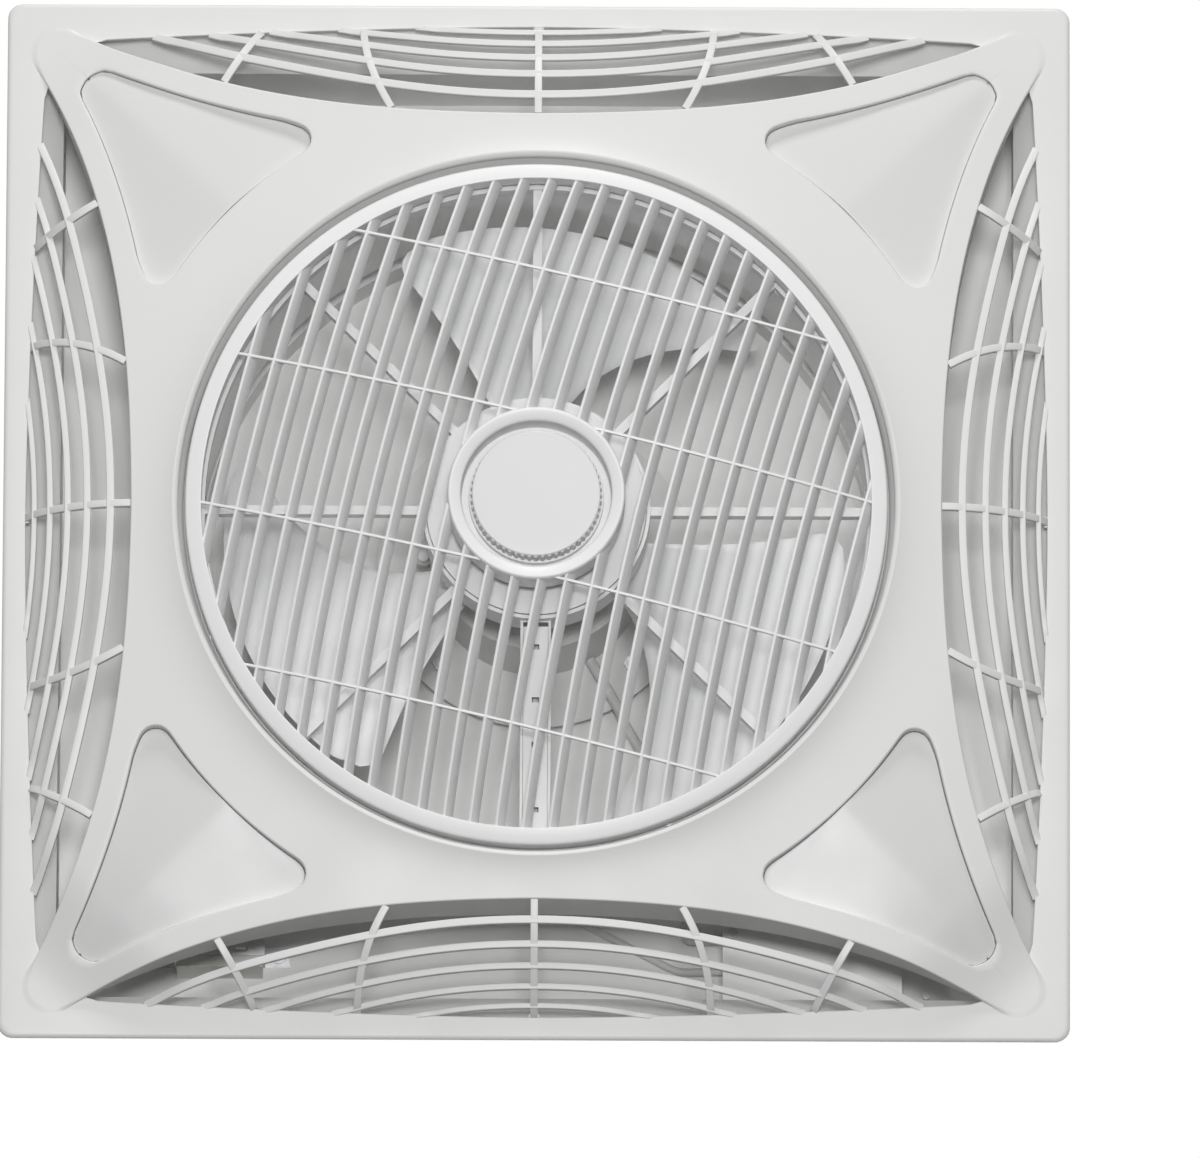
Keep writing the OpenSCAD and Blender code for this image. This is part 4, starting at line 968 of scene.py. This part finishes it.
# %% Louver piece
RING_OUT, RING_TOP, RING_LOW = 195.5, 41.0, 27.0
HUB_IN, HUB_TOP, HUB_LOW = 41.8, 62.0, 46.0
LOUVER_TURN = np.radians(-13.4)
ring_profile = soft_corners(
    [
        [RING_IN, RING_LOW], [RING_IN, RING_TOP], [RING_OUT, RING_TOP - 2.6], [RING_OUT, RING_LOW],
        [RING_OUT - 2, RING_LOW], [RING_OUT - 2, RING_TOP - 4.5], [RING_IN + 2, RING_TOP - 2.6],
        [RING_IN + 2, RING_LOW],
    ],
    [0.4, 0.8, 1.6, 0.4, 0.4, 0.5, 0.5, 0.4],
)
hub_profile = soft_corners(
    [
        [37.4, HUB_LOW + 3], [37.4, HUB_LOW - 2.5], [HUB_IN, HUB_LOW - 2.5],
        [HUB_IN, HUB_TOP - 2.4], [HUB_OUT - 1.2, HUB_TOP], [HUB_OUT, HUB_TOP - 1.5],
        [HUB_OUT, HUB_LOW - 5], [35, HUB_LOW - 5], [33, HUB_LOW], [9, HUB_LOW],
        [9, HUB_LOW - 12], [3.6, HUB_LOW - 12], [3.6, HUB_LOW + 3],
    ],
    [0.3, 0.5, 0.5, 1.6, 1.0, 1.2, 0.6, 0.6, 0.6, 1.5, 0.5, 0.3, 0.3],
)
louver.grid(turned(ring_profile, 256), round_rows=True, round_columns=True)
louver.grid(turned(hub_profile, 160), round_rows=True, round_columns=True)
cos_t, sin_t = np.cos(LOUVER_TURN), np.sin(LOUVER_TURN)
for points in louver.points:
    points[:, :2] = points[:, :2] @ np.array([[cos_t, sin_t], [-sin_t, cos_t]])
louver_piece = make_piece("louver", louver, sharp=40)
dress(louver_piece, "louver", "louver_plastic", louver_white_painted_light, "louver_grille")

# %% [markdown]
# ### A ledge under the lip
#
# The gap round the louver isn't a black slot in the photograph. It is a grey band that darkens
# towards the louver's ring, so the opening's wall must have a slope some 6 mm down, with only a
# thin gap beside the ring. It could be part of the panel's skin, but as a small ring of its own
# it stays out of the eight copies. It is part of the moulding, so it rides and looks as that.

# %% Lip ledge
ledge_profile = soft_corners(
    [[OPENING - 2.7, 25], [OPENING - 2.7, 27.5], [OPENING + 0.4, 36.5], [OPENING + 0.4, 25]],
    [0.3, 0.8, 0.2, 0.2],
)
ledge = make_piece(
    "lip_ledge", Surface().grid(turned(ledge_profile, 256), round_rows=True, round_columns=True)
)
dress(ledge, "housing", "panel_plastic", panel_white)

# %% [markdown]
# ## The knob
#
# The knob holds the louver on its shaft. It is a shallow cap with 60 small ribs for the fingers.
# The ribs stand a little proud of its face, so their tips show round the edge. Sixty copies of
# one rib would do, but it is simpler to let the radius of the cap's side follow a cosine.

# %% Knob
KNOB_R, KNOB_TOP, KNOB_LOW = 36.6, 60.2, 49.3
RIBS, RIB_DEEP, RIB_TOP = 60, 1.1, 58.4
FACE_R, FACE_EDGE = 34.9, 0.8
face_r = np.linspace(4, 34.6, 6)
bevel = np.radians(np.linspace(0, 90, 5))
rows = np.concatenate(
    [
        [[0, KNOB_TOP]],
        np.stack([face_r, KNOB_TOP - 0.4 * (face_r / KNOB_R) ** 2], -1),
        [FACE_R, KNOB_TOP - 1.2] + FACE_EDGE * np.stack([np.sin(bevel), np.cos(bevel)], -1),
        [[KNOB_R, c] for c in (RIB_TOP, 58.0, 50.0, KNOB_LOW)],
        [[4, KNOB_LOW], [0, KNOB_LOW]],
    ]
)
knob_turn = np.linspace(0, 2 * np.pi, 480, endpoint=False)
tooth = 0.5 + 0.5 * np.cos(RIBS * knob_turn)
ribbed = rows[:, 0] == KNOB_R
knob_r = rows[None, :, 0] - RIB_DEEP * (1 - tooth[:, None] ** 0.6) * ribbed[None]
knob_plan = circle(knob_turn)[:, None] * knob_r[..., None]
knob_grid = stack(knob_plan[..., 0], knob_plan[..., 1], rows[None, :, 1])
knob = make_piece("knob", Surface().grid(knob_grid, round_rows=True), sharp=35)
dress(knob, "louver", "louver_plastic", knob_white, "hub_knob")

# %% [markdown]
# ## The blades
#
# Three broad blades climb round the hub like a screw thread: height is the angle times 43 mm. A
# flat sheet with a Solidify modifier would have blunt edges. Here a blade is two skins, which lie
# apart in its middle and meet at its edges, so it closes by itself. Its leading edge sweeps from
# 13 degrees at the hub to 58 at the tip, and its trailing edge from 13 to 23 degrees the other
# way. The plastic is milky and lets some light through.

# %% Fan blades
FAN_HUB, FAN_TIP, BLADE_T, CLIMB = 50.0, 175.0, 2.4, 43.0
INTO_FAN_HUB, BLADE_C, FIRST_BLADE = 1.5, -20.0, 96
TIP_SHARE, TIP_ROUND, EDGE_RUN = 0.14, 0.22, 2.5
outward, round_way = np.meshgrid(np.linspace(0, 1, 33) ** 0.9, np.linspace(0, 1, 37), indexing="ij")
near_tip = np.clip((outward - (1 - TIP_SHARE)) / TIP_SHARE, 0, 1)
soft_tip = 1 - TIP_ROUND * (1 - np.sqrt(1 - near_tip**2))
lead = -13 - 45 * outward**1.3
trail = 13 + 10 * outward
middle, half_turn = (lead + trail) / 2, (trail - lead) / 2
degrees = middle + (2 * round_way - 1) * half_turn * soft_tip
radius = FAN_HUB - INTO_FAN_HUB + (FAN_TIP - FAN_HUB + INTO_FAN_HUB) * outward
to_side = np.minimum(round_way, 1 - round_way) * half_turn * np.pi / 90 * radius
to_edge = np.minimum(to_side, (1 - outward) * (FAN_TIP - FAN_HUB))
thick = BLADE_T / 2 * np.sqrt(np.clip(1 - (1 - np.clip(to_edge / EDGE_RUN, 0, 1)) ** 2, 0, 1))
blades = Surface()
for k in range(3):
    turn = np.radians(degrees + FIRST_BLADE + 120 * k)
    height = BLADE_C + CLIMB * np.radians(degrees)
    for side in (1, -1):
        skin_grid = stack(radius * np.cos(turn), radius * np.sin(turn), height + side * thick)
        blades.grid(skin_grid, flip=side < 0)
fan_hub = soft_corners(
    [
        [5.05, -8], [FAN_HUB - 1, -8], [FAN_HUB, -42], [FAN_HUB - 3, -42], [FAN_HUB - 4, -11],
        [12, -11], [12, -42], [5.05, -42],
    ],
    [0.4, 5, 0.5, 0.5, 2, 1, 0.5, 0.4],
)
blades.grid(turned(fan_hub, 128), round_rows=True, round_columns=True)
blade_piece = make_piece("fan_blades", blades, sharp=40)
dress(blade_piece, "impeller", "blade_plastic", blade_milk_painted_light, "fan_impeller")

# %% [markdown]
# ## Floor and world
#
# The fan hangs in its ceiling, so the floor is far below, and the photographer looks up past it
# at a white background. That white could come from a strong world, but it would flood the
# plastic with light. So the world is white to the camera, in reflections and through the blades
# only, and its light on the plastic is a tenth of that.

# %% Floor
FLOOR_HALF, FLOOR_Z = 60, -26
corners = ((-1, -1), (1, -1), (1, 1), (-1, 1))
floor_corners = [(x * FLOOR_HALF, y * FLOOR_HALF, FLOOR_Z) for x, y in corners]
floor_mesh = bpy.data.meshes.new("floor")
floor_mesh.from_pydata(floor_corners, [], [(0, 1, 2, 3)])
floor = bpy.data.objects.new("floor", floor_mesh)
bpy.context.scene.collection.objects.link(floor)
floor_paint = bpy.data.materials.new("floor_paint")
floor_paint.use_nodes = True
floor_shader = floor_paint.node_tree.nodes["Principled BSDF"]
floor_shader.inputs["Base Color"].default_value = (0.8, 0.8, 0.79, 1)
floor_shader.inputs["Roughness"].default_value = 0.8
floor_mesh.materials.append(floor_paint)
print("the floor is", 2 * FLOOR_HALF, "m wide and lies", -FLOOR_Z, "m below the ceiling")

# %% World
world = bpy.data.worlds.new("world")
bpy.context.scene.world = world
world.use_nodes = True
sky = world.node_tree
sky.nodes.clear()
seen = sky.nodes.new("ShaderNodeBackground")
seen.inputs["Strength"].default_value = 1.0
seen.inputs["Color"].default_value = (1, 1, 1, 1)
fill = sky.nodes.new("ShaderNodeBackground")
fill.inputs["Color"].default_value = (0.97, 0.985, 1, 1)
fill.inputs["Strength"].default_value = 0.1
ray = sky.nodes.new("ShaderNodeLightPath")
shows_white = ray.outputs["Is Camera Ray"]
for kind in ("Is Glossy Ray", "Is Transmission Ray"):
    either = sky.nodes.new("ShaderNodeMath")
    either.operation = "MAXIMUM"
    sky.links.new(shows_white, either.inputs[0])
    sky.links.new(ray.outputs[kind], either.inputs[1])
    shows_white = either.outputs[0]
mixed = sky.nodes.new("ShaderNodeMixShader")
out = sky.nodes.new("ShaderNodeOutputWorld")
sky.links.new(shows_white, mixed.inputs["Fac"])
sky.links.new(fill.outputs[0], mixed.inputs[1])
sky.links.new(seen.outputs[0], mixed.inputs[2])
sky.links.new(mixed.outputs[0], out.inputs["Surface"])
print("the world lights the fan with a strength of", fill.inputs["Strength"].default_value)

# %% [markdown]
# ### Lamps
#
# Four soft lamps stand in for the lit room. One beyond the top of the picture makes that side
# brighter. A wide one by the camera shines through the grilles, because the photograph shows a
# bright inside. A small one hangs below the middle of the fan, so the light falls off towards
# the corners. The last one lights the housing's back. One strong lamp would be simpler, but its
# hard shadows don't show in the photograph.

# %% Lamp set
def soft_lamp(name, place, size, watts, tint=(1, 1, 1)):
    """A square lamp that faces the fan."""
    lamp = bpy.data.lights.new(name, "AREA")
    lamp.shape, lamp.size, lamp.energy, lamp.color = "SQUARE", size, watts, tint
    holder = bpy.data.objects.new(name, lamp)
    holder.location = place
    holder.rotation_euler = (-Vector(place)).to_track_quat("-Z", "Y").to_euler()
    bpy.context.scene.collection.objects.link(holder)
    print(name, "stands", round(Vector(place).length, 2), "m away")


soft_lamp("beyond_the_top", (0.1, -3.4, -1.4), 1.0, 58, (1, 0.995, 0.985))
soft_lamp("by_the_camera", (0.2, 1.5, -11.9), 1.6, 630)
soft_lamp("below_the_fan", (0, -0.2, -1.5), 1.0, 7.2)
soft_lamp("over_the_housing", (1.6, 1.3, 2.4), 1.6, 65)

# %% [markdown]
# ### The camera
#
# The camera could be placed by eye, but the photograph tells where it was. The rings of the fan
# lie at different heights, and in the photograph they are shifted against each other by a
# quarter of that height. So the camera was tilted by about 14 degrees. The near edge is hardly
# longer than the far one, so it was far off: a long lens from 14 m gives that view. The panel
# lies a little left of the picture's middle and above it, and it is turned a quarter of a
# degree, because the camera wasn't held quite level.

# %% Camera
TILT, ROLL, AWAY = np.radians(14.2), np.radians(0.25), 14.0
FRAME_W, SENSOR = 0.6693, 36
PIXEL = FRAME_W / 1200
FAN_AT, PICTURE_MIDDLE = (536.4, 519.7), (600, 579)
camera_data = bpy.data.cameras.new("camera")
camera = bpy.data.objects.new("camera", camera_data)
bpy.context.scene.collection.objects.link(camera)
look = Vector((0, -np.sin(TILT), np.cos(TILT)))
level = Vector((1, 0, 0))
right = level * np.cos(ROLL) + level.cross(look) * np.sin(ROLL)
above = right.cross(look)
off_x, off_y = (PICTURE_MIDDLE[k] - FAN_AT[k] for k in range(2))
aim = right * off_x * PIXEL - above * off_y * PIXEL
turn = Matrix((right, above, -look)).transposed().to_4x4()
camera.matrix_world = Matrix.Translation(aim - look * AWAY) @ turn
camera_data.sensor_width = SENSOR
camera_data.lens = SENSOR * AWAY / FRAME_W
camera_data.clip_end = 100
bpy.context.scene.camera = camera
bpy.context.scene.view_settings.view_transform = "Standard"
print("the lens is", round(camera_data.lens), "mm long")
